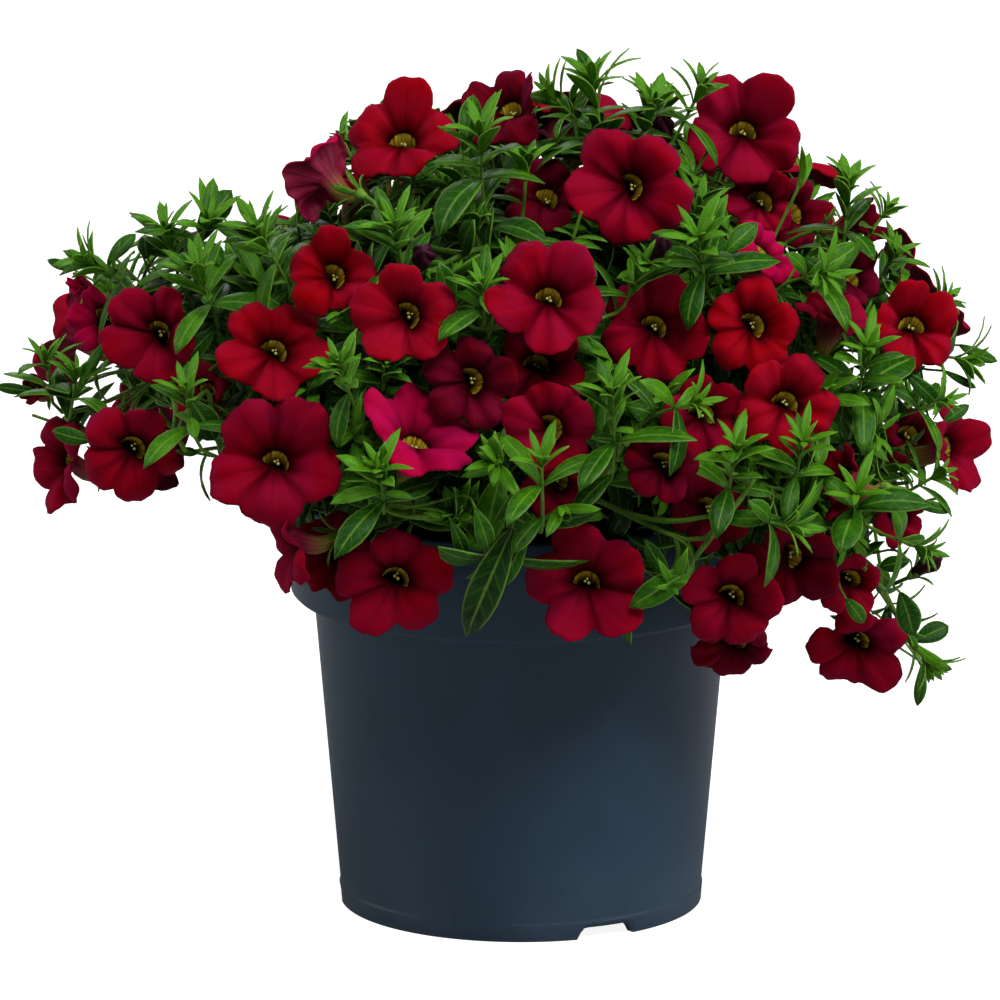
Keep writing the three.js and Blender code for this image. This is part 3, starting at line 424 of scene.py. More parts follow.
def add_piece(name, data, material, slot, replaced=()):
    piece = bpy.data.objects.new(name, data)
    bpy.context.scene.collection.objects.link(piece)
    data.materials.append(material)
    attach(piece, BODY)
    if replaced:
        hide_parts(*replaced)
    return piece


def thicken(piece, thickness):
    shell = piece.modifiers.new("thickness", "SOLIDIFY")
    shell.thickness = thickness * MM
    shell.offset = -1
    return piece


# ---- shader helpers ---------------------------------------------------------------

class Finish:
    """A node tree with short ways to add and join its nodes."""

    def __init__(self, tree):
        self.tree = tree

    def put(self, socket, value):
        if isinstance(value, bpy.types.NodeSocket):
            self.tree.links.new(value, socket)
        else:
            socket.default_value = value

    def node(self, kind, settings=(), **values):
        made = self.tree.nodes.new(kind)
        for name, value in dict(settings).items():
            setattr(made, name, value)
        for name, value in values.items():
            self.put(made.inputs[name.replace("_", " ")], value)
        return made

    def math(self, operation, *values):
        made = self.tree.nodes.new("ShaderNodeMath")
        made.operation = operation
        for socket, value in zip(made.inputs, values):
            self.put(socket, value)
        return made.outputs[0]

    def plus(self, one, other):
        return self.math("ADD", one, other)

    def minus(self, one, other):
        return self.math("SUBTRACT", one, other)

    def times(self, one, other):
        return self.math("MULTIPLY", one, other)

    def from_half(self, value):
        """How far a value is from a half."""
        return self.math("ABSOLUTE", self.minus(value, 0.5))

    def clamped(self, operation, *values):
        made = self.math(operation, *values)
        made.node.use_clamp = True
        return made

    def fade(self, value, low, high):
        """0 below low, 1 above high and smooth between."""
        made = self.node("ShaderNodeMapRange", {"interpolation_type": "SMOOTHSTEP"},
                         Value=value, From_Min=low, From_Max=high)
        return made.outputs["Result"]

    def mix(self, share, one, other):
        made = self.tree.nodes.new("ShaderNodeMix")
        made.data_type = "RGBA"
        self.put(made.inputs["Factor"], share)
        self.put(made.inputs[6], one)
        self.put(made.inputs[7], other)
        return made.outputs[2]

    def noise(self, place, scale, detail=2.0, roughness=0.5):
        made = self.node("ShaderNodeTexNoise", Vector=place, Scale=scale, Detail=detail,
                         Roughness=roughness)
        return made.outputs["Fac"]

    def group(self, tree, **values):
        return self.node("ShaderNodeGroup", {"node_tree": tree}, **values).outputs

    def line(self, distance, width):
        return self.group(LINE, Distance=distance, Width=width)["Mask"]

    def place(self):
        return self.node("ShaderNodeTexCoord").outputs["Object"]

    def mottle(self, blotch, grain):
        return self.group(MOTTLE, Place=self.place(), Blotch=blotch, Grain=grain)

    def map_shares(self):
        """The two shares of the piece's own map: across or round it, and along it."""
        parts = self.node("ShaderNodeSeparateXYZ", Vector=self.node("ShaderNodeUVMap").outputs["UV"])
        return parts.outputs["X"], parts.outputs["Y"]

    def drawn(self, name):
        """A value that the mesh carries."""
        return self.node("ShaderNodeAttribute", {"attribute_name": name}).outputs["Fac"]

    def bump(self, shader, height, strength, depth):
        relief = self.node("ShaderNodeBump", Strength=strength, Distance=depth, Height=height)
        self.put(shader.inputs["Normal"], relief.outputs["Normal"])


def new_material(name, **constants):
    """A material and its Finish, with the shader's constants set on their sockets."""
    material = bpy.data.materials.new(name)
    material.use_nodes = True
    shader = material.node_tree.nodes["Principled BSDF"]
    for key, value in constants.items():
        shader.inputs[key.replace("_", " ")].default_value = value
    return material, Finish(material.node_tree), shader


def new_group(name, inputs, outputs):
    """A shader node group with named float or vector sockets."""
    tree = bpy.data.node_groups.new(name, "ShaderNodeTree")
    for title, kind in inputs:
        tree.interface.new_socket(title, in_out="INPUT", socket_type=kind)
    for title in outputs:
        tree.interface.new_socket(title, in_out="OUTPUT", socket_type="NodeSocketFloat")
    finish = Finish(tree)
    entry = tree.nodes.new("NodeGroupInput").outputs
    end = tree.nodes.new("NodeGroupOutput").inputs
    return tree, finish, entry, end


def make_mottle():
    """Soft blotches over fine grain, from 0 to 1."""
    tree, finish, entry, end = new_group(
        "mottle",
        [("Place", "NodeSocketVector"), ("Blotch", "NodeSocketFloat"), ("Grain", "NodeSocketFloat")],
        ["Value", "Height"])
    blotch = finish.noise(entry["Place"], entry["Blotch"], 3.0)
    grain = finish.noise(entry["Place"], entry["Grain"], 2.0)
    both = finish.plus(finish.times(blotch, 0.65), finish.times(grain, 0.35))
    finish.put(end["Value"], finish.fade(both, 0.32, 0.68))
    finish.put(end["Height"], grain)
    return tree


def make_line():
    """A soft line: 1 where the distance is 0, fading to 0 at the width."""
    tree, finish, entry, end = new_group(
        "line", [("Distance", "NodeSocketFloat"), ("Width", "NodeSocketFloat")], ["Mask"])
    share = finish.clamped("DIVIDE", entry["Distance"], entry["Width"])
    finish.put(end["Mask"], finish.minus(1.0, finish.fade(share, 0.0, 1.0)))
    return tree


MOTTLE = make_mottle()
LINE = make_line()


def petal_material(name, bright, deep):
    """Velvety petal: darker round the throat (its own dark eye with painted shade), painted shade in the
    creases, a painted pink sheen at glancing angles, and a gold throat with painted light on one side and
    painted shade on the other and deep down.
    """
    material, finish, shader = new_material(
        name, Roughness=0.6, Sheen_Weight=0.04, Sheen_Roughness=0.4,
        Sheen_Tint=colour(255, 0, 80), Specular_IOR_Level=0.012)
    round_share, along = finish.map_shares()
    lobe = finish.math("FRACT", finish.math("MULTIPLY_ADD", round_share, LOBES, 0.5))
    off_middle = finish.times(finish.from_half(lobe), 2.0)
    off_notch = finish.minus(1.0, off_middle)
    notch = finish.line(off_notch, 0.32)
    middle = finish.line(off_middle, 0.09)
    streak_place = finish.node("ShaderNodeCombineXYZ", X=finish.times(round_share, 60.0),
                               Y=finish.times(along, 5.0)).outputs["Vector"]
    streak = finish.noise(streak_place, 1.0, 3.0)
    mottle = finish.mottle(60.0, 1700.0)

    limb = finish.fade(along, 0.34, 1.0)
    # Painted shade along the creases at the notches, with the lobes' midribs and their own streaks; less of
    # it out on the limb.
    lines = finish.plus(finish.times(notch, 0.6), finish.times(middle, 0.24))
    lines = finish.clamped("ADD", lines, finish.times(streak, 0.16))
    shade = finish.times(lines, finish.minus(1.0, finish.times(limb, 0.6)))
    # Painted sheen: pinker where the petal is seen at a glancing angle, and in blotches of its own.
    glancing = finish.node("ShaderNodeLayerWeight", Blend=0.4).outputs["Facing"]
    painted_sheen_and_blotch = finish.clamped("MULTIPLY_ADD", glancing, 0.9, finish.times(mottle["Value"], 0.6))
    pinker = finish.mix(painted_sheen_and_blotch, bright, pink_of(bright))
    petal = finish.mix(shade, pinker, deep)
    # Darker round the throat: partly the petal's own dark eye and partly painted shade of the funnel, with
    # painted shade darkest at the throat's mouth.
    star = finish.fade(finish.math("MULTIPLY_ADD", lines, -0.1, along), 0.3, 0.6)
    petal = finish.mix(star, deep, petal)
    petal = finish.mix(finish.fade(along, 0.29, 0.39), colour(24, 0, 3), petal)
    gold = finish.mix(finish.fade(streak, 0.35, 0.7), colour(182, 160, 40), colour(104, 62, 14))
    # Painted light and shade in the throat: gold on its lit side, painted dark on the far side and deep in
    # the tube.
    lit = finish.times(finish.fade(finish.drawn("gold"), 0.2, 0.5), finish.fade(along, 0.16, 0.28))
    gold = finish.mix(lit, colour(20, 12, 3), gold)
    ragged = finish.math("MULTIPLY_ADD", streak, 0.02, along)
    finish.put(shader.inputs["Base Color"], finish.mix(finish.fade(ragged, 0.296, 0.312), gold, petal))

    height = finish.plus(finish.times(streak, 0.5), finish.times(lines, -0.6))
    height = finish.plus(height, finish.times(mottle["Height"], 0.35))
    finish.bump(shader, height, 0.8, 0.00022)
    return material


def petal_back_material():
    """The underside: duller magenta with raised veins, and a tube that yellows to its foot."""
    material, finish, shader = new_material(
        "petal underside", Roughness=0.62, Sheen_Weight=0.06, Sheen_Roughness=0.4,
        Sheen_Tint=colour(255, 120, 170), Specular_IOR_Level=0.2)
    round_share, along = finish.map_shares()
    ray = finish.math("FRACT", finish.times(round_share, VEINS_A_LOBE * LOBES))
    vein = finish.line(finish.from_half(ray), 0.16)
    mottle = finish.mottle(160.0, 1700.0)
    limb = finish.mix(mottle["Value"], colour(104, 2, 30), colour(132, 6, 54))
    limb = finish.mix(finish.times(vein, 0.5), limb, colour(70, 0, 26))
    tube = finish.mix(finish.times(vein, 0.8), colour(132, 122, 46), colour(92, 16, 34))
    finish.put(shader.inputs["Base Color"], finish.mix(finish.fade(along, 0.04, 0.3), tube, limb))
    height = finish.plus(vein, finish.times(mottle["Height"], 0.4))
    finish.bump(shader, height, 0.5, 0.0002)
    return material


def pink_of(value):
    """The same red with a little blue in it, for the petal's painted sheen and its blotches."""
    return (value[0] * 0.95, value[1] + 0.004, value[2] * 2 + 0.02, 1.0)


def leaf_material():
    """Green leaf: paler midrib and rim, faint side veins, darker with age and with painted shade deep in the
    crown.
    """
    material, finish, shader = new_material(
        "leaf green", Roughness=0.42, Specular_IOR_Level=0.14, Sheen_Weight=0.02,
        Sheen_Roughness=0.4, Sheen_Tint=colour(200, 235, 150))
    across, along = finish.map_shares()
    off_rib = finish.times(finish.from_half(across), 2.0)
    rib = finish.line(off_rib, 0.15)
    rim = finish.line(finish.minus(1.0, off_rib), 0.17)
    slant = finish.math("MULTIPLY_ADD", off_rib, -0.16, along)
    ray = finish.math("FRACT", finish.times(slant, SIDE_VEINS))
    vein = finish.line(finish.from_half(ray), 0.16)
    mottle = finish.mottle(260.0, 1500.0)
    # The tint carries the leaf's age and painted shade together: shoots deep in the crown get a near-black
    # green.
    youth_and_light = finish.clamped("MULTIPLY_ADD", mottle["Value"], 0.24, finish.drawn("tint"))
    old_and_shaded_green = finish.mix(finish.fade(youth_and_light, 0.0, 0.6), colour(4, 20, 1), colour(26, 74, 4))
    green = finish.mix(finish.fade(youth_and_light, 0.5, 1.2), old_and_shaded_green, colour(80, 142, 14))
    green = finish.mix(finish.times(vein, 0.14), green, colour(92, 142, 30))
    pale = finish.clamped("ADD", finish.times(rib, 0.42), finish.times(rim, 0.5))
    finish.put(shader.inputs["Base Color"], finish.mix(pale, green, colour(128, 168, 64)))
    height = finish.plus(finish.times(rib, -0.9), finish.times(vein, -0.5))
    height = finish.plus(height, finish.times(mottle["Height"], 0.6))
    finish.bump(shader, height, 0.6, 0.0002)
    return material


def plain_material(name, one, other, blotch, grain, depth, **constants):
    """Two near colours in soft blotches, with a fine grain in the surface."""
    material, finish, shader = new_material(name, **constants)
    mottle = finish.mottle(blotch, grain)
    finish.put(shader.inputs["Base Color"], finish.mix(mottle["Value"], one, other))
    finish.bump(shader, mottle["Height"], 0.5, depth)
    return material


def pot_material():
    """Moulded slate-blue plastic: satin, faintly clouded, a little dusty at the foot."""
    material, finish, shader = new_material("pot plastic", Specular_IOR_Level=0.22)
    mottle = finish.mottle(22.0, 2600.0)
    height = finish.node("ShaderNodeSeparateXYZ", Vector=finish.place()).outputs["Z"]
    low = finish.minus(1.0, finish.fade(height, 0.0, 0.03))
    slate = finish.mix(mottle["Value"], colour(33, 52, 69), colour(42, 62, 80))
    dust = finish.times(low, finish.times(mottle["Value"], 0.16))
    finish.put(shader.inputs["Base Color"], finish.mix(dust, slate, colour(92, 98, 102)))
    finish.put(shader.inputs["Roughness"], finish.math("MULTIPLY_ADD", mottle["Value"], 0.08, 0.4))
    finish.bump(shader, mottle["Height"], 0.35, 0.00006)
    return material


# Four petal reds. The dark one is the same red in painted shade: front blooms that sit in shadow get it, and
# rear blooms draw their tone at random.
TONES = [
    ("petals_bright", petal_material("petal bright", colour(146, 0, 4), colour(66, 0, 3))),
    ("petals_crimson", petal_material("petal crimson", colour(136, 0, 17), colour(60, 0, 7))),
    ("petals_dark", petal_material("petal dark", colour(104, 0, 8), colour(45, 0, 5))),
    ("petals_magenta", petal_material("petal magenta", colour(168, 0, 44), colour(80, 0, 20))),
]
PETAL_BACK = petal_back_material()
LEAF_GREEN = leaf_material()
STEM_GREEN = plain_material("stem green", colour(62, 104, 16), colour(96, 138, 30), 300.0, 2400.0,
                            0.00012, Roughness=0.5, Sheen_Weight=0.06, Specular_IOR_Level=0.25)
BUD_PURPLE = plain_material("bud purple", colour(26, 4, 16), colour(66, 10, 42), 500.0, 2600.0,
                            0.00015, Roughness=0.45, Specular_IOR_Level=0.15)
STYLE_YELLOW = plain_material("style yellow", colour(150, 140, 44), colour(205, 200, 110), 900.0, 3000.0,
                              0.0001, Roughness=0.16, Specular_IOR_Level=0.7)
SOIL_BROWN = plain_material("soil brown", colour(34, 24, 17), colour(78, 58, 42), 240.0, 1600.0,
                            0.0006, Roughness=0.92)
POT_SLATE = pot_material()

# ---- sites ------------------------------------------------------------------------


def crown_place(column, row, back):
    """The place on the crown's near side that is seen at a column and row."""
    x = (column - AXIS_COLUMN) * MM_PER_POINT
    rise = (FOOT_ROW - row) * MM_PER_POINT / math.cos(VIEW_TILT)
    slope = math.tan(VIEW_TILT)
    over = rise - CROWN_MIDDLE.z
    a = 1 / CROWN_REACH.y ** 2 + slope ** 2 / CROWN_REACH.z ** 2
    b = -2 * slope * over / CROWN_REACH.z ** 2
    c = ((x - CROWN_MIDDLE.x) / CROWN_REACH.x) ** 2 + (over / CROWN_REACH.z) ** 2 - 1
    y = (-b - math.sqrt(max(0.0, b * b - 4 * a * c))) / (2 * a) + back
    return Vector((x, y, rise - y * slope))


def view_direction(yaw, pitch):
    """A direction given by its angles off the line of sight."""
    side, lift = math.radians(yaw), math.radians(pitch)
    level = math.sin(side) * math.cos(lift)
    return X_AXIS * level + VIEW_UP * math.sin(lift) + VIEW_OUT * (math.cos(side) * math.cos(lift))


def row_on(line, column):
    """The row of a line of columns and rows at a column."""
    for (left, left_row), (right, right_row) in zip(line, line[1:]):
        if column < right:
            return left_row + (right_row - left_row) * max(0.0, (column - left) / (right - left))
    return line[-1][1]


def seen_at(spot):
    return AXIS_COLUMN + spot.x / MM_PER_POINT, FOOT_ROW - spot.dot(VIEW_UP) / MM_PER_POINT


def tucked_in(place, retreat, spots_at):
    """Slides a place back until all that stands on it is seen under the skyline."""
    def inside(spot):
        column, row = seen_at(spot)
        return row > row_on(SKYLINE, column) + SKYLINE_MARGIN

    while not all(inside(spot) for spot in spots_at(place)):
        place = place + retreat * RETREAT_STEP
    return place


def within_outline(spot):
    """Whether a spot is seen in the filled area: the line to its right leaves it once."""
    column, row = seen_at(spot)
    inside = False
    for (one, one_row), (other, other_row) in zip(OUTLINE, [*OUTLINE[1:], OUTLINE[0]]):
        if (one_row > row) != (other_row > row):
            crossing = one + (row - one_row) * (other - one) / (other_row - one_row)
            inside = inside != (column < crossing)
    return inside


def crown_bearing(bearing, steepness):
    """The place and the outward direction on the crown at a bearing and steepness."""
    lift = math.radians(steepness)
    direction = turned(bearing) * math.cos(lift) + Z_AXIS * math.sin(lift)
    outward = shrunk(direction, CROWN_REACH).normalized()
    return stretched(direction, CROWN_REACH) + CROWN_MIDDLE, outward


def facing_frame(place, facing):
    """A frame with +Z along the facing and +X level in the view."""
    up = VIEW_OUT if abs(facing.dot(VIEW_UP)) > 0.98 else VIEW_UP
    level = up.cross(facing).normalized()
    matrix = Matrix((level, facing.cross(level), facing)).transposed().to_4x4()
    matrix.translation = place
    return matrix


def front_blooms():
    for column, row, width, yaw, pitch, turn, back, openness, tone in BLOOMS:
        yield SimpleNamespace(
            radius=width * MM_PER_POINT / WIDTH_TO_RADIUS, place=crown_place(column, row, back),
            facing=view_direction(yaw, pitch), retreat=-VIEW_OUT, turn=turn, open=openness, tone=tone)


def rear_blooms():
    for i in range(REAR_BLOOMS):
        share = (i * GOLDEN + 0.35) % 1
        bearing = REAR.first + (REAR.last - REAR.first) * (i + 0.5) / REAR_BLOOMS
        place, outward = crown_bearing(bearing, REAR.low + (REAR.high - REAR.low) * share)
        facing = (outward + Z_AXIS * (0.3 * draw(i + 3) - 0.1)).normalized()
        radius = REAR_BLOOM_WIDTH * (0.88 + 0.2 * draw(i + 31)) / WIDTH_TO_RADIUS
        rim = [Matrix.Rotation(math.radians(36 * k), 3, "Z") @ Vector((radius, 0, 0)) for k in range(10)]

        def rim_at(spot):
            rest = facing_frame(spot, facing)
            return [rest @ point for point in rim]

        yield SimpleNamespace(
            radius=radius, place=tucked_in(place, -outward, rim_at), facing=facing, retreat=-outward,
            turn=72 * draw(i + 71), open=1, tone=math.floor(4 * draw(i + 57)))


def front_shoots():
    for i, (column, row, turn, lean, length, leaf, back) in enumerate(SHOOTS):
        angle, out = math.radians(turn), math.radians(lean)
        direction = (X_AXIS * (math.cos(angle) * math.cos(out)) + VIEW_UP * (math.sin(angle) * math.cos(out))
                     + VIEW_OUT * math.sin(out))
        base = crown_place(column, row, back) - direction * (length / 2)
        yield SimpleNamespace(base=base, direction=direction, length=length, leaf=leaf, seed=i + 1, tint=0.55,
                              filling=False, free=FIXED)


def rear_shoots():
    blooms = list(rear_blooms())
    for i in range(REAR_SHOOT_SITES):
        share = (i * GOLDEN + 0.8) % 1
        bearing = REAR.first - 6 + (REAR.last - REAR.first + 12) * (i + 0.5) / REAR_SHOOT_SITES
        place, outward = crown_bearing(bearing, REAR.low + 6 + (REAR.high - REAR.low) * share)
        direction = (outward + Z_AXIS * 0.35).normalized()
        length = 16 + 8 * draw(i + 90)

        def leaf_ends(spot):
            return [spot + direction * (0.3 * length + LEAF_TIP_REACH), spot]

        place = tucked_in(place, -outward, leaf_ends)
        if all((bloom.place - place).length > SHOOT_ROOM for bloom in blooms):
            yield SimpleNamespace(base=place - direction * (0.7 * length), direction=direction,
                                  length=length, leaf=REAR_LEAF, seed=i + 101, tint=0.6, filling=False,
                                  free=WITHIN)


def filling_shoots(kind, first_seed):
    """Side shoots all round at some depths in the crown, leaning out and up."""
    for i in range(kind.sites):
        height = 1 - 1.55 * (i + 0.5) / kind.sites
        place, outward = crown_bearing(GOLDEN_ANGLE * i, math.degrees(math.asin(height)))
        share = kind.shares[i % len(kind.shares)] + 0.05 * draw(i + 401)
        place = CROWN_MIDDLE + (place - CROWN_MIDDLE) * share
        direction = (outward + Z_AXIS * spread(i + 433, 0.2, 0.7)
                     + turned(360 * draw(i + 467)) * 0.35).normalized()
        length = spread(i + 499, 10, 17)
        over_pot = math.hypot(place.x, place.y) < BAND_RADIUS + POT_ROOM
        floor = POT_HEIGHT + POT_ROOM if over_pot else HANG_FLOOR
        if place.z > floor and within_outline(place):
            # Painted shade: the deeper in the crown a shoot starts, the darker its tint.
            yield SimpleNamespace(base=place - direction * length, direction=direction, length=length,
                                  leaf=spread(i + 521, *kind.leaf), seed=i + first_seed,
                                  tint=kind.tint + 0.4 * share, filling=True, free=WITHIN)


# ---- the solids that the fine pieces stand for -------------------------------------

def corner_tree():
    """Every corner of the sprays and blooms, with the name of its node."""
    owners, corners = [], []
    for name, solid in sorted(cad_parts.items()):
        if name.startswith(("spray", "bloom")):
            corners += [vertex.co / MM for vertex in solid.data.vertices]
            owners += [name] * len(solid.data.vertices)
    tree = KDTree(len(corners))
    for i, corner in enumerate(corners):
        tree.insert(corner, i)
    tree.balance()
    return tree, owners


def bloom_form(bloom):
    """Heights and radii along one bloom, measured from the plane of its rim."""
    limb = math.hypot(bloom.radius - THROAT_RADIUS, FUNNEL_RISE * bloom.radius)
    rim_radius = bloom.radius * bloom.open
    throat = min(THROAT_RADIUS, rim_radius * 0.5)
    rise = math.sqrt(max(1.0, limb ** 2 - (rim_radius - throat) ** 2))
    length = TUBE_LENGTH * min(1.0, 0.4 + bloom.radius / 28)
    return SimpleNamespace(rim=rim_radius, throat=throat, rise=rise, base=-rise - length)


def settle(bloom, number, tree, owners):
    """Finds how far the bloom's solid was set back, from where its five notches are."""
    form = bloom_form(bloom)
    rest = facing_frame(bloom.place, bloom.facing)
    notches = []
    for lobe in range(LOBES):
        angle = math.radians(bloom.turn + 72 * lobe - 36)
        radius = form.rim * NOTCH_SOLID_SHARE
        notches.append(rest @ Vector((radius * math.cos(angle), radius * math.sin(angle), -NOTCH_SINK)))

    def found(step):
        return [tree.find(notch + bloom.retreat * (step * RETREAT_STEP)) for notch in notches]

    step = min(range(RETREAT_LIMIT), key=lambda k: sum(hit[2] for hit in found(k)))
    names = [owners[hit[1]] for hit in found(step)]
    bloom.place = bloom.place + bloom.retreat * (step * RETREAT_STEP)
    bloom.node = max(set(names), key=names.count)
    right, down = SHIFTED.get(number, (0, 0))
    bloom.place = bloom.place + (X_AXIS * right - VIEW_UP * down) * MM_PER_POINT
    bloom.frame = facing_frame(bloom.place, bloom.facing)


# ---- blooms -----------------------------------------------------------------------

def petal_edge(side, blunt, notch_drop, skew):
    """Rim radius as a share, across a lobe from one notch (-1) over its blunt middle to the other."""
    off_middle = abs(side)
    notch = 0.98 - NOTCH_SHARE + notch_drop
    return 1 - 0.02 * off_middle - notch * off_middle ** blunt + skew * math.sin(math.pi * side)


def petal_point(bloom, form, seed, turn, share):
    """A point of the corolla: turn in circles, share from the tube's foot to the rim."""
    lobe = math.floor(turn * LOBES + 0.5) % LOBES
    phase = turn * LOBES + 0.5
    side = (phase - math.floor(phase)) * 2 - 1
    notch = (lobe + (0 if side > 0 else LOBES - 1)) % LOBES
    off_middle = abs(side)
    angle = 2 * math.pi * turn + math.radians(bloom.turn)
    way = math.radians(spread(seed, *GOLD_SIDE))
    full = form.throat * THROAT_FLARE
    cut = form.throat * THROAT_CUT / max(0.02, -math.cos(angle - way))
    throat = (full ** -3 + cut ** -3) ** (-1 / 3) if math.cos(angle - way) < 0 else full
    if share <= TUBE_SHARE:
        up = share / TUBE_SHARE
        wall = full + (throat - full) * up ** 3
        radius = TUBE_BASE_RADIUS + (wall - TUBE_BASE_RADIUS) * up ** 1.3
        height = form.base + (-form.rise - form.base) * up
        lean = TUBE_LEAN * math.sin(math.pi * up ** 0.7) * form.throat / THROAT_RADIUS
        return Vector((radius * math.cos(angle) - lean * math.cos(way),
                       radius * math.sin(angle) - lean * math.sin(way), height))
    out = (share - TUBE_SHARE) / (1 - TUBE_SHARE)
    free = 1 - off_middle ** 2
    blunt = spread(seed + lobe + 37, *LOBE_BLUNT)
    swell = spread(seed + lobe, *LOBE_SWELL)
    ripple = 0.012 * math.sin(angle * 23 + seed) + 0.016 * math.sin(angle * 11 + 2 * seed)
    skew = spread(seed + lobe + 3, *LOBE_SKEW)
    edge = petal_edge(side, blunt, spread(seed + notch + 43, *NOTCH_DROP), skew)
    edge = form.rim * (edge + swell * free + ripple * out)
    radius = throat + (edge - throat) * out
    height = -form.rise * (1 - out) ** 1.45
    crease = math.exp(-((1 - off_middle) / CREASE_WIDTH) ** 2)
    rib = math.exp(-(off_middle / RIB_WIDTH) ** 2)
    dome = LOBE_DOME * math.cos(off_middle * math.pi / 2)
    curl = (0.06 + 0.62 * draw(seed + lobe + 7) ** 1.6) * free
    tilt = spread(seed + lobe + 13, *LOBE_TILT) * free
    twist = spread(seed + lobe + 19, *LOBE_TWIST) * side * (1 - off_middle ** 6)
    pleat = spread(seed + lobe + 51, *LOBE_PLEAT) * math.sin(2 * math.pi * side)
    wave = 0.06 * math.sin(angle * 2 + seed * 3) * out ** 2
    frill = 0.022 * math.sin(angle * 13 + seed * 5) * out ** 3
    lift = (dome + tilt + twist + pleat) * out * (1.2 - out * 0.2) - curl * out ** 4 + wave + frill
    sink = NOTCH_SINK + spread(seed + notch + 61, *CREASE_DEPTH) * bloom.radius
    height += lift * bloom.radius - sink * crease * math.sqrt(out) - RIB_DEPTH * rib * out
    return Vector((radius * math.cos(angle), radius * math.sin(angle), height))


def bud_point(bloom, form, seed, turn, share):
    """A point of a bud: a narrow foot, a fuller middle and a twisted, pleated tip."""
    angle = 2 * math.pi * turn
    full = BUD_FULLNESS * bloom.radius * (0.7 + 0.6 * bloom.open)
    radius = TUBE_BASE_RADIUS * (1 - share) + full * math.sin(math.pi * share ** 1.7) ** 0.9
    radius *= 1 + BUD_PLEAT * share * math.cos(LOBES * angle + 5 * share + seed)
    height = form.base + (form.rise * 0.6 - form.base) * share
    return Vector((radius * math.cos(angle), radius * math.sin(angle), height))


def make_corolla(bloom, number):
    """One corolla: a ring of faces bent into tube, throat and five joined lobes."""
    bud = bloom.open < BUD_OPENNESS
    point = bud_point if bud else petal_point
    form = bloom_form(bloom)
    bm = bmesh.new()
    bm.loops.layers.uv.new("UVMap")
    gold = bm.verts.layers.float.new("gold")
    lit_side_way = math.radians(spread(number * 31, *GOLD_SIDE))
    bmesh.ops.create_grid(bm, x_segments=ROUND_FACES, y_segments=PETAL_ROWS, size=0.5, calc_uvs=True)
    for vertex in bm.verts:
        turn, share = vertex.co.x + 0.5, vertex.co.y + 0.5
        # Painted light: the gold attribute runs from 1 on the throat's lit side to 0 on its shaded side.
        vertex[gold] = 0.5 + 0.5 * math.cos(2 * math.pi * turn + math.radians(bloom.turn) - lit_side_way)
        vertex.co = bloom.frame @ point(bloom, form, number * 31, turn, share)
    bmesh.ops.remove_doubles(bm, verts=bm.verts, dist=SEAM_GAP)
    bmesh.ops.reverse_faces(bm, faces=bm.faces)
    bloom.corners = [vertex.co.copy() for vertex in bm.verts]
    bm.verts.index_update()
    bloom.faces = [[vertex.index for vertex in face.verts] for face in bm.faces]
    slot, material = TONES[bloom.tone]
    piece = set_down(bm, f"corolla_{number:02d}", BUD_PURPLE if bud else material, slot, [bloom.node])
    piece.data.materials.append(BUD_PURPLE if bud else PETAL_BACK)
    thicken(piece, PETAL_THICKNESS)
    piece.modifiers["thickness"].material_offset = 1


def petal_cover(blooms):
    """All petals in one tree that tells whether a line meets one."""
    corners, faces = [], []
    for bloom in blooms:
        start = len(corners)
        corners += bloom.corners
        faces += [[start + i for i in face] for face in bloom.faces]
    return BVHTree.FromPolygons(corners, faces)


def runs_clear(cover, path):
    for one, other in zip(path, path[1:]):
        way = other - one
        if cover.ray_cast(one, way.normalized(), way.length)[0] is not None:
            return False
    return True


def knob(bm, place, radius, finer=2, shape=Matrix()):
    matrix = Matrix.Translation(place) @ shape
    bmesh.ops.create_icosphere(bm, subdivisions=finer, radius=radius, matrix=matrix)


def add_stamens(bm, bloom, seed):
    """A stigma at the mouth of the tube and two anthers beside it."""
    form = bloom_form(bloom)
    small = min(1.0, form.throat / THROAT_RADIUS)
    way = math.radians(spread(seed, *GOLD_SIDE))
    for beside, out, depth, size in STAMENS:
        level = Vector((out * math.cos(way) - beside * math.sin(way),
                        out * math.sin(way) + beside * math.cos(way), 0)) * small
        level.z = -form.rise - depth
        knob(bm, bloom.frame @ level, size * small)


# ---- leaves -----------------------------------------------------------------------

def new_leaves():
    bm = bmesh.new()
    bm.loops.layers.uv.new("UVMap")
    bm.faces.layers.float.new("tint")
    return bm


def leaf_outline(share, blunt):
    """Half width of a leaf as a share: a narrow foot, then a spoon shape."""
    blade = max(0.0, math.sin(math.pi * share ** 1.22)) ** blunt
    return 0.16 * (1 - share) ** 2 + blade


def leaf_plan(root, along, out, angle, length, seed, tint, width_share=LEAF_WIDTH_SHARE, rows=LEAF_ROWS):
    """A leaf that leaves its root at an angle from along towards out."""
    return SimpleNamespace(root=root, along=along, out=out, lean=math.radians(angle), length=length,
                           droop=spread(seed, *LEAF_DROOP), width=length * width_share, seed=seed,
                           tint=tint, rows=rows)


def midrib(leaf, share):
    """Place and upper face of a bent leaf's midrib, at a share of its length."""
    turn = leaf.lean + leaf.droop * share * 1.6
    direction = leaf.along * math.cos(turn) + leaf.out * math.sin(turn)
    face = leaf.along * math.sin(turn) - leaf.out * math.cos(turn)
    return leaf.root + direction * (leaf.length * share), face


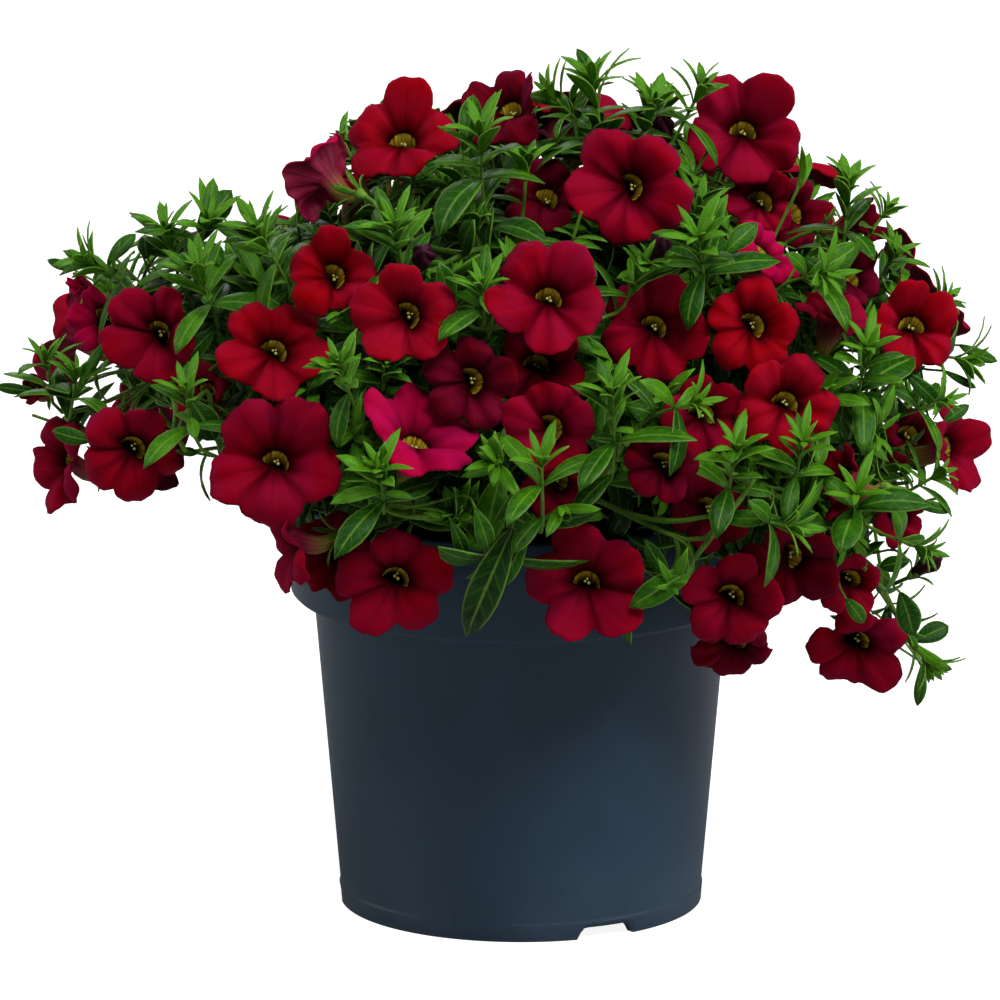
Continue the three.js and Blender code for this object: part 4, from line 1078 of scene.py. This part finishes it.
def add_leaf(bm, leaf):
    """One leaf, from a flat grid bent along its midrib and folded up at its sides."""
    across = leaf.along.cross(leaf.out)
    half = leaf.width * spread(leaf.seed + 11, *LEAF_PLUMPNESS) / 2
    fold = spread(leaf.seed + 17, *LEAF_FOLD)
    blunt = spread(leaf.seed + 23, *LEAF_BLUNT)
    tip_turn = spread(leaf.seed + 29, -LEAF_TIP_TURN, LEAF_TIP_TURN) * leaf.length
    made = bmesh.ops.create_grid(bm, x_segments=4, y_segments=leaf.rows, size=0.5, calc_uvs=True)["verts"]
    for vertex in made:
        side, share = vertex.co.x * 2, vertex.co.y + 0.5
        place, face = midrib(leaf, share)
        reach = half * leaf_outline(share, blunt)
        lift = reach * (fold * abs(side) - 0.22 * side ** 4)
        vertex.co = place + across * (side * reach + tip_turn * share ** 2) + face * lift
    paint(bm, made, leaf.tint)


def paint(bm, corners, tint):
    """Gives the faces at some corners their tint: their age of green together with painted shade."""
    layer = bm.faces.layers.float["tint"]
    for face in {face for vertex in corners for face in vertex.link_faces}:
        face[layer] = tint


def leaf_clear(plant, leaf, free):
    """Whether a leaf stays out of the petals and where its freedom lets it stand."""
    spots = [midrib(leaf, share)[0] for share in (0.08, 0.4, 0.7, 1.06)]
    side = leaf.along.cross(leaf.out) * (leaf.width * 0.55)
    edges = [[spots[0], spots[1] + way * 0.8, spots[2] + way, spots[3]] for way in (side, -side)]
    if not all(runs_clear(plant.cover, path) for path in (spots, *edges)):
        return False
    if free == FIXED:
        return True
    before = any(plant.front_cover.ray_cast(spot, -VIEW_OUT, VIEW_CLEARANCE)[0] for spot in spots[1:])
    return not before and (free == BESIDE or within_outline(spots[3]))


def place_leaf(plant, spray, leaf, free):
    """Adds a leaf at the first of a few tilts at which it stands clear."""
    lean = leaf.lean
    for tilt in TRIED_TILTS:
        leaf.lean = lean + math.radians(tilt)
        if leaf_clear(plant, leaf, free):
            add_leaf(spray.leaves, leaf)
            return


def sideways_of(direction):
    return Vector((direction.y, -direction.x, 0.31)).cross(direction).normalized()


def radial(direction, sideways, degrees):
    angle = math.radians(degrees)
    return sideways * math.cos(angle) + direction.cross(sideways) * math.sin(angle)


def add_leafy_shoot(plant, spray, shoot):
    """Whorls of three, spread low down and upright above, and a tight leafy tip."""
    along = shoot.direction
    sideways = sideways_of(along)
    whorls = max(1, round(shoot.length / WHORL_STEP))
    short = shoot.length < SHORT_SHOOT
    for step in range(0, 2 * whorls, 2 if short else 1):
        whorl = step / 2
        share = min(1.0, whorl / (whorls - 1)) if whorls > 1 else 0.25 + whorl
        angle = LOW_LEAF_ANGLE + (TOP_LEAF_ANGLE - LOW_LEAF_ANGLE) * share
        height = shoot.length * (whorl + 0.4) / whorls
        size = 1.0 if step % 2 == 0 else 0.8
        for side in range(3):
            seed = shoot.seed * 20 + whorl * 3 + side
            turn = 60 + 120 * side + 60 * whorl + 30 * (step % 2) + spread(seed + 77, -20, 20)
            out = radial(along, sideways, turn)
            length = shoot.leaf * (0.78 + 0.6 * draw(seed + 7)) * (1 - 0.2 * share) * size
            root = shoot.base + along * (height + 0.5) + out * 0.4
            tint = shoot.tint + 0.2 * share + spread(seed + 41, -0.2, 0.2)
            leaf = leaf_plan(root, along, out, angle + spread(seed + 71, -15, 15), length, seed, tint,
                             width_share=LEAF_WIDTH_SHARE * (1 - 0.3 * share))
            place_leaf(plant, spray, leaf, max(shoot.free, BESIDE if step % 2 else FIXED))
    for i in range(0 if short else TIP_LEAVES):
        seed = shoot.seed * 20 + 13 + i * 0.37
        out = radial(along, sideways, GOLDEN_ANGLE * i)
        root = shoot.base + along * (shoot.length + 0.25 * i)
        leaf = leaf_plan(root, along, out, 32 - 4 * i, shoot.leaf * (0.88 - 0.07 * i), seed,
                         shoot.tint + 0.36, width_share=TIP_LEAF_WIDTH_SHARE, rows=LEAF_ROWS - 1)
        place_leaf(plant, spray, leaf, shoot.free)


def add_stem_leaves(plant, spray, path, size, seed, reach, tint, free):
    """Single leaves in turn round a stem, from its top down."""
    gone, wanted, count = 0.0, 3.0, 0
    for one, other in zip(reversed(path), list(reversed(path))[1:]):
        step = (other - one).length
        while wanted < gone + step and wanted < reach:
            along = (one - other).normalized()
            place = one.lerp(other, (wanted - gone) / step)
            out = radial(along, sideways_of(along), GOLDEN_ANGLE * count + 40 * draw(seed))
            leaf = leaf_plan(place + out * 0.4, along, out, spread(seed + count, *STEM_LEAF_ANGLES),
                             size * spread(seed + count + 5, 0.85, 1.12), seed * 3 + count,
                             tint + spread(seed + count + 9, -0.2, 0.12))
            place_leaf(plant, spray, leaf, free)
            count += 1
            wanted += STEM_LEAF_STEP
        gone += step


# ---- stems ------------------------------------------------------------------------

def bend(start, leaving, end, arriving, fullness):
    reach = fullness * (end - start).length
    handles = start + leaving * reach, end - arriving * reach
    return [Vector(point) for point in interpolate_bezier(start, *handles, end, STEM_STEPS + 1)]


def fork_points(spray, path, first):
    for one, other in list(zip(path, path[1:]))[first:]:
        along = (other - one).normalized()
        yield SimpleNamespace(place=one.lerp(other, 0.5), along=along, spray=spray)


def hidden_share(plant, path):
    """1 if all but the end of a path runs under the crown's leafy skin, and 2 more if it
    also runs before no bloom of the front."""
    inner = path[:-len(path) // 3]
    under = all(shrunk(spot - CROWN_MIDDLE, CROWN_REACH).length < SKIN_SHARE for spot in inner)
    before = any(plant.front_cover.ray_cast(spot, -VIEW_OUT, VIEW_CLEARANCE)[0] for spot in inner)
    return under + 2 * (not before)


def route(plant, forks, target, arriving):
    """The path to a target from the nearest fork that keeps it covered and out of the petals."""
    aim = target - arriving * 12

    def cost(fork):
        way = aim - fork.place
        return way.length + TURN_BACK * max(0.0, -way.normalized().dot(fork.along))

    near = sorted(forks, key=cost)[:FORKS_TRIED]
    found, best = None, -1
    for fork in near:
        if found and (fork.place - target).length < FORK_CLEARANCE:
            continue
        leaving = fork.along.lerp((target - fork.place).normalized(), 0.5).normalized()
        for fullness in STEM_FULLNESS:
            path = bend(fork.place, leaving, target, arriving, fullness)
            hidden = hidden_share(plant, path) if runs_clear(plant.cover, path) else -1
            if hidden > best or not found:
                found, best = (path, fork), hidden
            if best == 3:
                return found
    return found


def add_stem(spray, path, radius, tip_radius):
    spray.stems.append((path, radius, tip_radius))


def grow_trunks():
    """The trunks: each rises from its own hole in the soil and leans out to its side."""
    sprays = []
    for i, (bearing, steepness) in enumerate(TRUNKS):
        lift = math.radians(steepness)
        away = turned(bearing)
        out = away * math.cos(lift) + Z_AXIS * math.sin(lift)
        foot = away * (10 if steepness > 40 else 27) + Z_AXIS * TRUNK_FOOT
        collar = Vector((foot.x, foot.y, SOIL_MOUND_HEIGHT + 3))
        end = Z_AXIS * collar.z + out * TRUNK_REACH
        spray = SimpleNamespace(name=f"spray_{i + 1:02d}", leaves=new_leaves(), stems=[], forks=[])
        path = [foot, *bend(collar, Z_AXIS, end, out, STEM_FULLNESS[0])]
        add_stem(spray, path, TRUNK_RADIUS, STEM_RADIUS)
        spray.forks += fork_points(spray, path, 3)
        sprays.append(spray)
    return sprays


def stem_curve(spray):
    """All stems of a spray as one round-sectioned curve."""
    curve = bpy.data.curves.new(f"stems_{spray.name[-2:]}", "CURVE")
    curve.dimensions = "3D"
    curve.bevel_depth = MM
    curve.bevel_resolution = 1
    curve.use_fill_caps = True
    for path, radius, tip_radius in spray.stems:
        line = curve.splines.new("POLY")
        line.points.add(len(path) - 1)
        for i, (point, place) in enumerate(zip(line.points, path)):
            share = i / (len(path) - 1)
            point.co = (*(place * MM), 1.0)
            point.radius = radius + (tip_radius - radius) * share
    return add_piece(curve.name, curve, STEM_GREEN, "foliage", [spray.name])


def add_lone_leaves(plant, own_spray):
    """The single leaves and bare stems that stand in plain sight."""
    for points in BARE_STEMS:
        path = [crown_place(*point) for point in points]
        spray = own_spray(path[1])
        inner, fork = route(plant, spray.forks, path[0], (path[1] - path[0]).normalized())
        add_stem(fork.spray, [*inner[:-1], *path], STEM_RADIUS, 0.7)
    for i, (column, row, tip_column, tip_row, width, back, tint) in enumerate(LONE_LEAVES):
        root = crown_place(column, row, back)
        reach = (X_AXIS * (tip_column - column) + VIEW_UP * (row - tip_row)) * MM_PER_POINT
        along, length = reach.normalized(), reach.length
        spray = own_spray(root)
        outward = shrunk(shrunk(root - CROWN_MIDDLE, CROWN_REACH), CROWN_REACH).normalized()
        path, fork = route(plant, spray.forks, root, (outward + along * 0.4).normalized())
        add_stem(fork.spray, path, TIP_RADIUS, 0.35)
        away = (VIEW_OUT - along * VIEW_OUT.dot(along)).normalized() * -1
        add_leaf(fork.spray.leaves, leaf_plan(
            root, along, away, LONE_LEAF_ANGLE, length, i + 11, tint,
            width_share=width * MM_PER_POINT / length, rows=LEAF_ROWS + 2))


# ---- calyx ------------------------------------------------------------------------

def add_calyx(bm, bloom, seed):
    """A green cup with five narrow sepals that stand along the tube."""
    form = bloom_form(bloom)
    top = form.base - CALYX_GAP
    made = bmesh.ops.create_cone(
        bm, segments=10, radius1=CALYX_RADIUS * 0.45, radius2=CALYX_RADIUS, depth=CALYX_HEIGHT + 0.9,
        cap_ends=True, matrix=bloom.frame @ Matrix.Translation((0, 0, top - CALYX_HEIGHT / 2 - 0.2)))
    paint(bm, made["verts"], CALYX_TINT)
    scale = min(1.0, 0.45 + bloom.radius / 30)
    along = bloom.facing
    level = bloom.frame.col[0].to_3d()
    angle = math.degrees(math.atan2(SEPAL_SPREAD - CALYX_RADIUS, SEPAL_RISE))
    for i in range(LOBES):
        out = radial(along, level, 72 * i)
        root = bloom.place + along * (top - 0.4) + out * (CALYX_RADIUS - 0.35)
        length = SEPAL_LENGTH * scale * spread(seed + i, 0.9, 1.1)
        add_leaf(bm, leaf_plan(root, along, out, angle - 6, length, seed + i, SEPAL_TINT,
                               width_share=SEPAL_WIDTH_SHARE, rows=LEAF_ROWS - 1))


def stalk_end(bloom):
    """Where a bloom's stalk meets its calyx."""
    base = bloom_form(bloom).base
    return bloom.place + bloom.facing * (base - CALYX_GAP - CALYX_HEIGHT - 0.6)


# ---- the plant --------------------------------------------------------------------

def grow_plant():
    tree, owners = corner_tree()
    blooms = [*front_blooms(), *rear_blooms()]
    for number, bloom in enumerate(blooms, 1):
        settle(bloom, number, tree, owners)
        make_corolla(bloom, number)
    sprays = grow_trunks()
    named = {spray.name: spray for spray in sprays}
    plant = SimpleNamespace(cover=petal_cover(blooms), front_cover=petal_cover(blooms[:len(BLOOMS)]))

    def own_spray(place):
        """The spray whose solid is nearest; a bloom node's corner isn't a spray's."""
        for _, index, _ in tree.find_n(place, 400):
            if owners[index] in named:
                return named[owners[index]]
        return sprays[0]

    everywhere = [fork for spray in sprays for fork in spray.forks]
    shoots = [*front_shoots(), *rear_shoots(), *filling_shoots(INNER, 701), *filling_shoots(DEEP, 1301)]
    for shoot in shoots:
        tip = shoot.base + shoot.direction * (shoot.length + 2.5)
        if shoot.filling and not runs_clear(plant.cover, [shoot.base, tip + shoot.direction * 3]):
            continue
        spray = None if shoot.filling else own_spray(tip)
        path, fork = route(plant, spray.forks if spray else everywhere, shoot.base, shoot.direction)
        spray = fork.spray
        add_stem(spray, [*path, tip], STEM_RADIUS, TIP_RADIUS)
        fresh = list(fork_points(spray, path, 2))
        spray.forks += fresh
        if not shoot.filling:
            everywhere += fresh
        add_leafy_shoot(plant, spray, shoot)
        add_stem_leaves(plant, spray, path, shoot.leaf, shoot.seed, 16 if shoot.filling else 30,
                        shoot.tint - 0.12, max(shoot.free, BESIDE))

    add_lone_leaves(plant, own_spray)

    stamens = bmesh.new()
    for number, bloom in enumerate(blooms, 1):
        end = stalk_end(bloom)
        spray = own_spray(end)
        path, fork = route(plant, spray.forks, end, bloom.facing)
        add_stem(fork.spray, path, STALK_RADIUS, STALK_RADIUS)
        add_calyx(fork.spray.leaves, bloom, number * 7)
        if bloom.open >= BUD_OPENNESS:
            add_stamens(stamens, bloom, number * 31)
    set_down(stamens, "stamens", STYLE_YELLOW, "foliage")

    for spray in sprays:
        stem_curve(spray)
        bmesh.ops.remove_doubles(spray.leaves, verts=spray.leaves.verts, dist=0.001)
        leaves = set_down(spray.leaves, f"leaves_{spray.name[-2:]}", LEAF_GREEN, "foliage", [spray.name])
        thicken(leaves, LEAF_THICKNESS)


# ---- pot and soil -----------------------------------------------------------------

def lathe(profile, steps, rounding):
    """A profile of radii and heights, its corners rounded, spun once round the axis."""
    bm = bmesh.new()
    corners = [bm.verts.new((radius, 0, height)) for radius, height in profile]
    for one, other in zip(corners, corners[1:]):
        bm.edges.new((one, other))
    if rounding:
        bmesh.ops.bevel(bm, geom=corners[1:-1], offset=rounding, offset_type="OFFSET", segments=3,
                        profile=0.5, affect="VERTICES", material=-1)
    bmesh.ops.spin(bm, geom=[*bm.verts, *bm.edges], cent=(0, 0, 0), axis=(0, 0, 1),
                   angle=2 * math.pi, steps=steps, use_merge=True)
    bmesh.ops.remove_doubles(bm, verts=bm.verts, dist=0.01)
    bmesh.ops.recalc_face_normals(bm, faces=bm.faces)
    return bm


def notch_height(bearing):
    """How high the foot's edge stands at a bearing: nothing but in the notches."""
    span = 360 / NOTCH.count
    off = abs((bearing - NOTCH.turn + span / 2) % span - span / 2)
    across = FOOT_RADIUS * math.sin(math.radians(off))
    share = (NOTCH.width / 2 - across) / NOTCH.slope
    return NOTCH.height * max(0.0, min(1.0, share)) ** 0.6


def add_drains(bm):
    """Opens the round drain holes through the recessed floor."""
    rings = []
    for level in (FOOT_HEIGHT, FOOT_HEIGHT + WALL):
        def is_level(part):
            return all(abs(vertex.co.z - level) < 0.001 for vertex in part.verts)

        plate = [face for face in bm.faces if is_level(face)]
        bmesh.ops.delete(bm, geom=plate, context="FACES")
        edges = [edge for edge in bm.edges if edge.is_boundary and is_level(edge)]
        for i in range(DRAIN.count):
            middle = Matrix.Rotation(math.radians(DRAIN.start + 360 / DRAIN.count * i), 4, "Z")
            middle = middle @ Matrix.Translation((DRAIN.ring, 0, level))
            corners = bmesh.ops.create_circle(bm, segments=DRAIN.steps, radius=DRAIN.radius, matrix=middle)
            ring = list(dict.fromkeys(edge for vertex in corners["verts"] for edge in vertex.link_edges))
            for edge in ring:
                edge.smooth = False
            rings.append(ring)
            edges += ring
        bmesh.ops.triangle_fill(bm, use_beauty=True, use_dissolve=False, edges=edges)
    for lower, upper in zip(rings, rings[DRAIN.count:]):
        bmesh.ops.bridge_loops(bm, edges=lower + upper)
    bmesh.ops.recalc_face_normals(bm, faces=bm.faces)
    assert all(edge.is_manifold for edge in bm.edges)


def make_pot():
    seam = FOOT_HEIGHT + SEAM_STEP
    inner_foot = FOOT_RADIUS - WALL
    profile = [
        (0, 0), (CENTRE_FOOT_RADIUS, 0), (CENTRE_FOOT_RADIUS, FOOT_HEIGHT),
        (inner_foot - FOOT_FLARE, FOOT_HEIGHT), (inner_foot - FOOT_FLARE, 0),
        (FOOT_RADIUS, 0), (FOOT_RADIUS + FOOT_FLARE, FOOT_HEIGHT),
        (FOOT_RADIUS + FOOT_FLARE - SEAM_STEP, seam),
        (BODY_TOP_RADIUS, BAND_BOTTOM), (BAND_RADIUS - BAND_EDGE, BAND_BOTTOM),
        (BAND_RADIUS, BAND_BOTTOM + BAND_EDGE), (BAND_TOP_RADIUS, POT_HEIGHT - WALL / 2),
        (BAND_TOP_RADIUS - WALL / 2, POT_HEIGHT), (BAND_TOP_RADIUS - WALL, POT_HEIGHT),
        (BAND_RADIUS - WALL - 0.3, BAND_BOTTOM + WALL), (BODY_TOP_RADIUS - WALL, BAND_BOTTOM + WALL),
        (inner_foot, FOOT_HEIGHT + WALL), (0, FOOT_HEIGHT + WALL),
    ]
    bm = lathe(profile, POT_STEPS, EDGE_ROUNDING)
    add_drains(bm)
    for vertex in bm.verts:
        radius = math.hypot(vertex.co.x, vertex.co.y)
        if radius > inner_foot - 2 and vertex.co.z < FOOT_HEIGHT - 1:
            bearing = math.degrees(math.atan2(vertex.co.x, -vertex.co.y))
            vertex.co.z = max(vertex.co.z, notch_height(bearing))
    set_down(bm, "nursery_pot", POT_SLATE, "pot_plastic", ["pot"])


def make_soil():
    """The root ball with its crumbly top."""
    ledge = BAND_BOTTOM + WALL + SOIL_GAP
    inside = BAND_TOP_RADIUS - WALL - 2.2 * SOIL_GAP
    mound = SOIL_MOUND_HEIGHT - SOIL_EDGE_HEIGHT
    top = [(inside * (1 - i / SOIL_RINGS), SOIL_EDGE_HEIGHT + mound * (i / SOIL_RINGS) ** 0.8)
           for i in range(SOIL_RINGS + 1)]
    profile = [
        (0, FOOT_HEIGHT + WALL + SOIL_GAP), (FOOT_RADIUS - WALL - SOIL_GAP, FOOT_HEIGHT + WALL + SOIL_GAP),
        (BODY_TOP_RADIUS - WALL - SOIL_GAP - 0.1, ledge), (BAND_RADIUS - WALL - 2.2 * SOIL_GAP, ledge), *top]
    bm = lathe(profile, SOIL_STEPS, 0)
    for vertex in bm.verts:
        if vertex.co.z > SOIL_EDGE_HEIGHT - 0.5:
            vertex.co.z += SOIL_WAVE * noise.noise(vertex.co * 0.35) - SOIL_SAG
    for i in range(SOIL_CRUMBS):
        distance = (inside - 1.5) * math.sqrt((i + 0.5) / SOIL_CRUMBS)
        place = turned(GOLDEN_ANGLE * i) * distance
        place.z = SOIL_MOUND_HEIGHT - 3.2 * (distance / inside) ** 1.5 + spread(i + 5, -0.4, 0.5)
        turn = Matrix.Rotation(6.28 * draw(i), 4, (draw(i + 1), draw(i + 2), 0.4))
        size = spread(i + 9, *CRUMB_SIZE)
        shape = Matrix.Diagonal((size, size * spread(i + 15, 0.5, 1), size * spread(i + 21, 0.4, 0.8), 1))
        knob(bm, place, 1, 1, turn @ shape)
    set_down(bm, "potting_soil", SOIL_BROWN, "soil", ["soil"])


# ---- studio -----------------------------------------------------------------------

def add_camera():
    """A long lens that sees the plant at the size and place of the front view."""
    middle = PICTURE_SIZE / 2
    target = Vector(((middle - AXIS_COLUMN) * MM_PER_POINT, 0,
                     (FOOT_ROW - middle) * MM_PER_POINT / math.cos(VIEW_TILT))) * MM
    data = bpy.data.cameras.new("camera")
    data.sensor_width = SENSOR
    data.lens = SENSOR * CAMERA_DISTANCE / (PICTURE_SIZE * MM_PER_POINT * MM)
    camera = bpy.data.objects.new("camera", data)
    camera.location = target + VIEW_OUT * CAMERA_DISTANCE
    camera.rotation_euler = (math.pi / 2 - VIEW_TILT, 0, 0)
    bpy.context.scene.collection.objects.link(camera)
    bpy.context.scene.camera = camera


def add_floor():
    bm = bmesh.new()
    bmesh.ops.create_grid(bm, x_segments=1, y_segments=1, size=FLOOR_SIZE)
    mesh = bpy.data.meshes.new("floor")
    bm.to_mesh(mesh)
    bm.free()
    material, finish, shader = new_material("floor white", Roughness=0.8, Specular_IOR_Level=0.1,
                                            Base_Color=(*[FLOOR_TONE] * 3, 1), Emission_Color=(1, 1, 1, 1))
    seen = finish.node("ShaderNodeLightPath").outputs["Is Camera Ray"]
    finish.put(shader.inputs["Emission Strength"], finish.times(seen, FLOOR_GLOW))
    mesh.materials.append(material)
    floor = bpy.data.objects.new("floor", mesh)
    bpy.context.scene.collection.objects.link(floor)


def add_panel(name, place, width, height, power):
    """A soft panel that points at the plant."""
    data = bpy.data.lights.new(name, "AREA")
    data.energy = power
    data.shape = "RECTANGLE"
    data.size, data.size_y = width, height
    light = bpy.data.objects.new(name, data)
    light.location = place
    light.rotation_euler = (Vector(place) - Z_AXIS * AIM_HEIGHT).to_track_quat("Z", "Y").to_euler()
    bpy.context.scene.collection.objects.link(light)


def add_studio():
    add_camera()
    add_floor()
    world = bpy.data.worlds.new("studio")
    world.use_nodes = True
    sky = world.node_tree.nodes["Background"].inputs
    sky["Color"].default_value = (1, 1, 1, 1)
    sky["Strength"].default_value = SKY_STRENGTH
    bpy.context.scene.world = world
    for panel in PANELS:
        add_panel(*panel)
    bpy.context.scene.view_settings.view_transform = "Standard"


add_studio()
make_pot()
make_soil()
grow_plant()
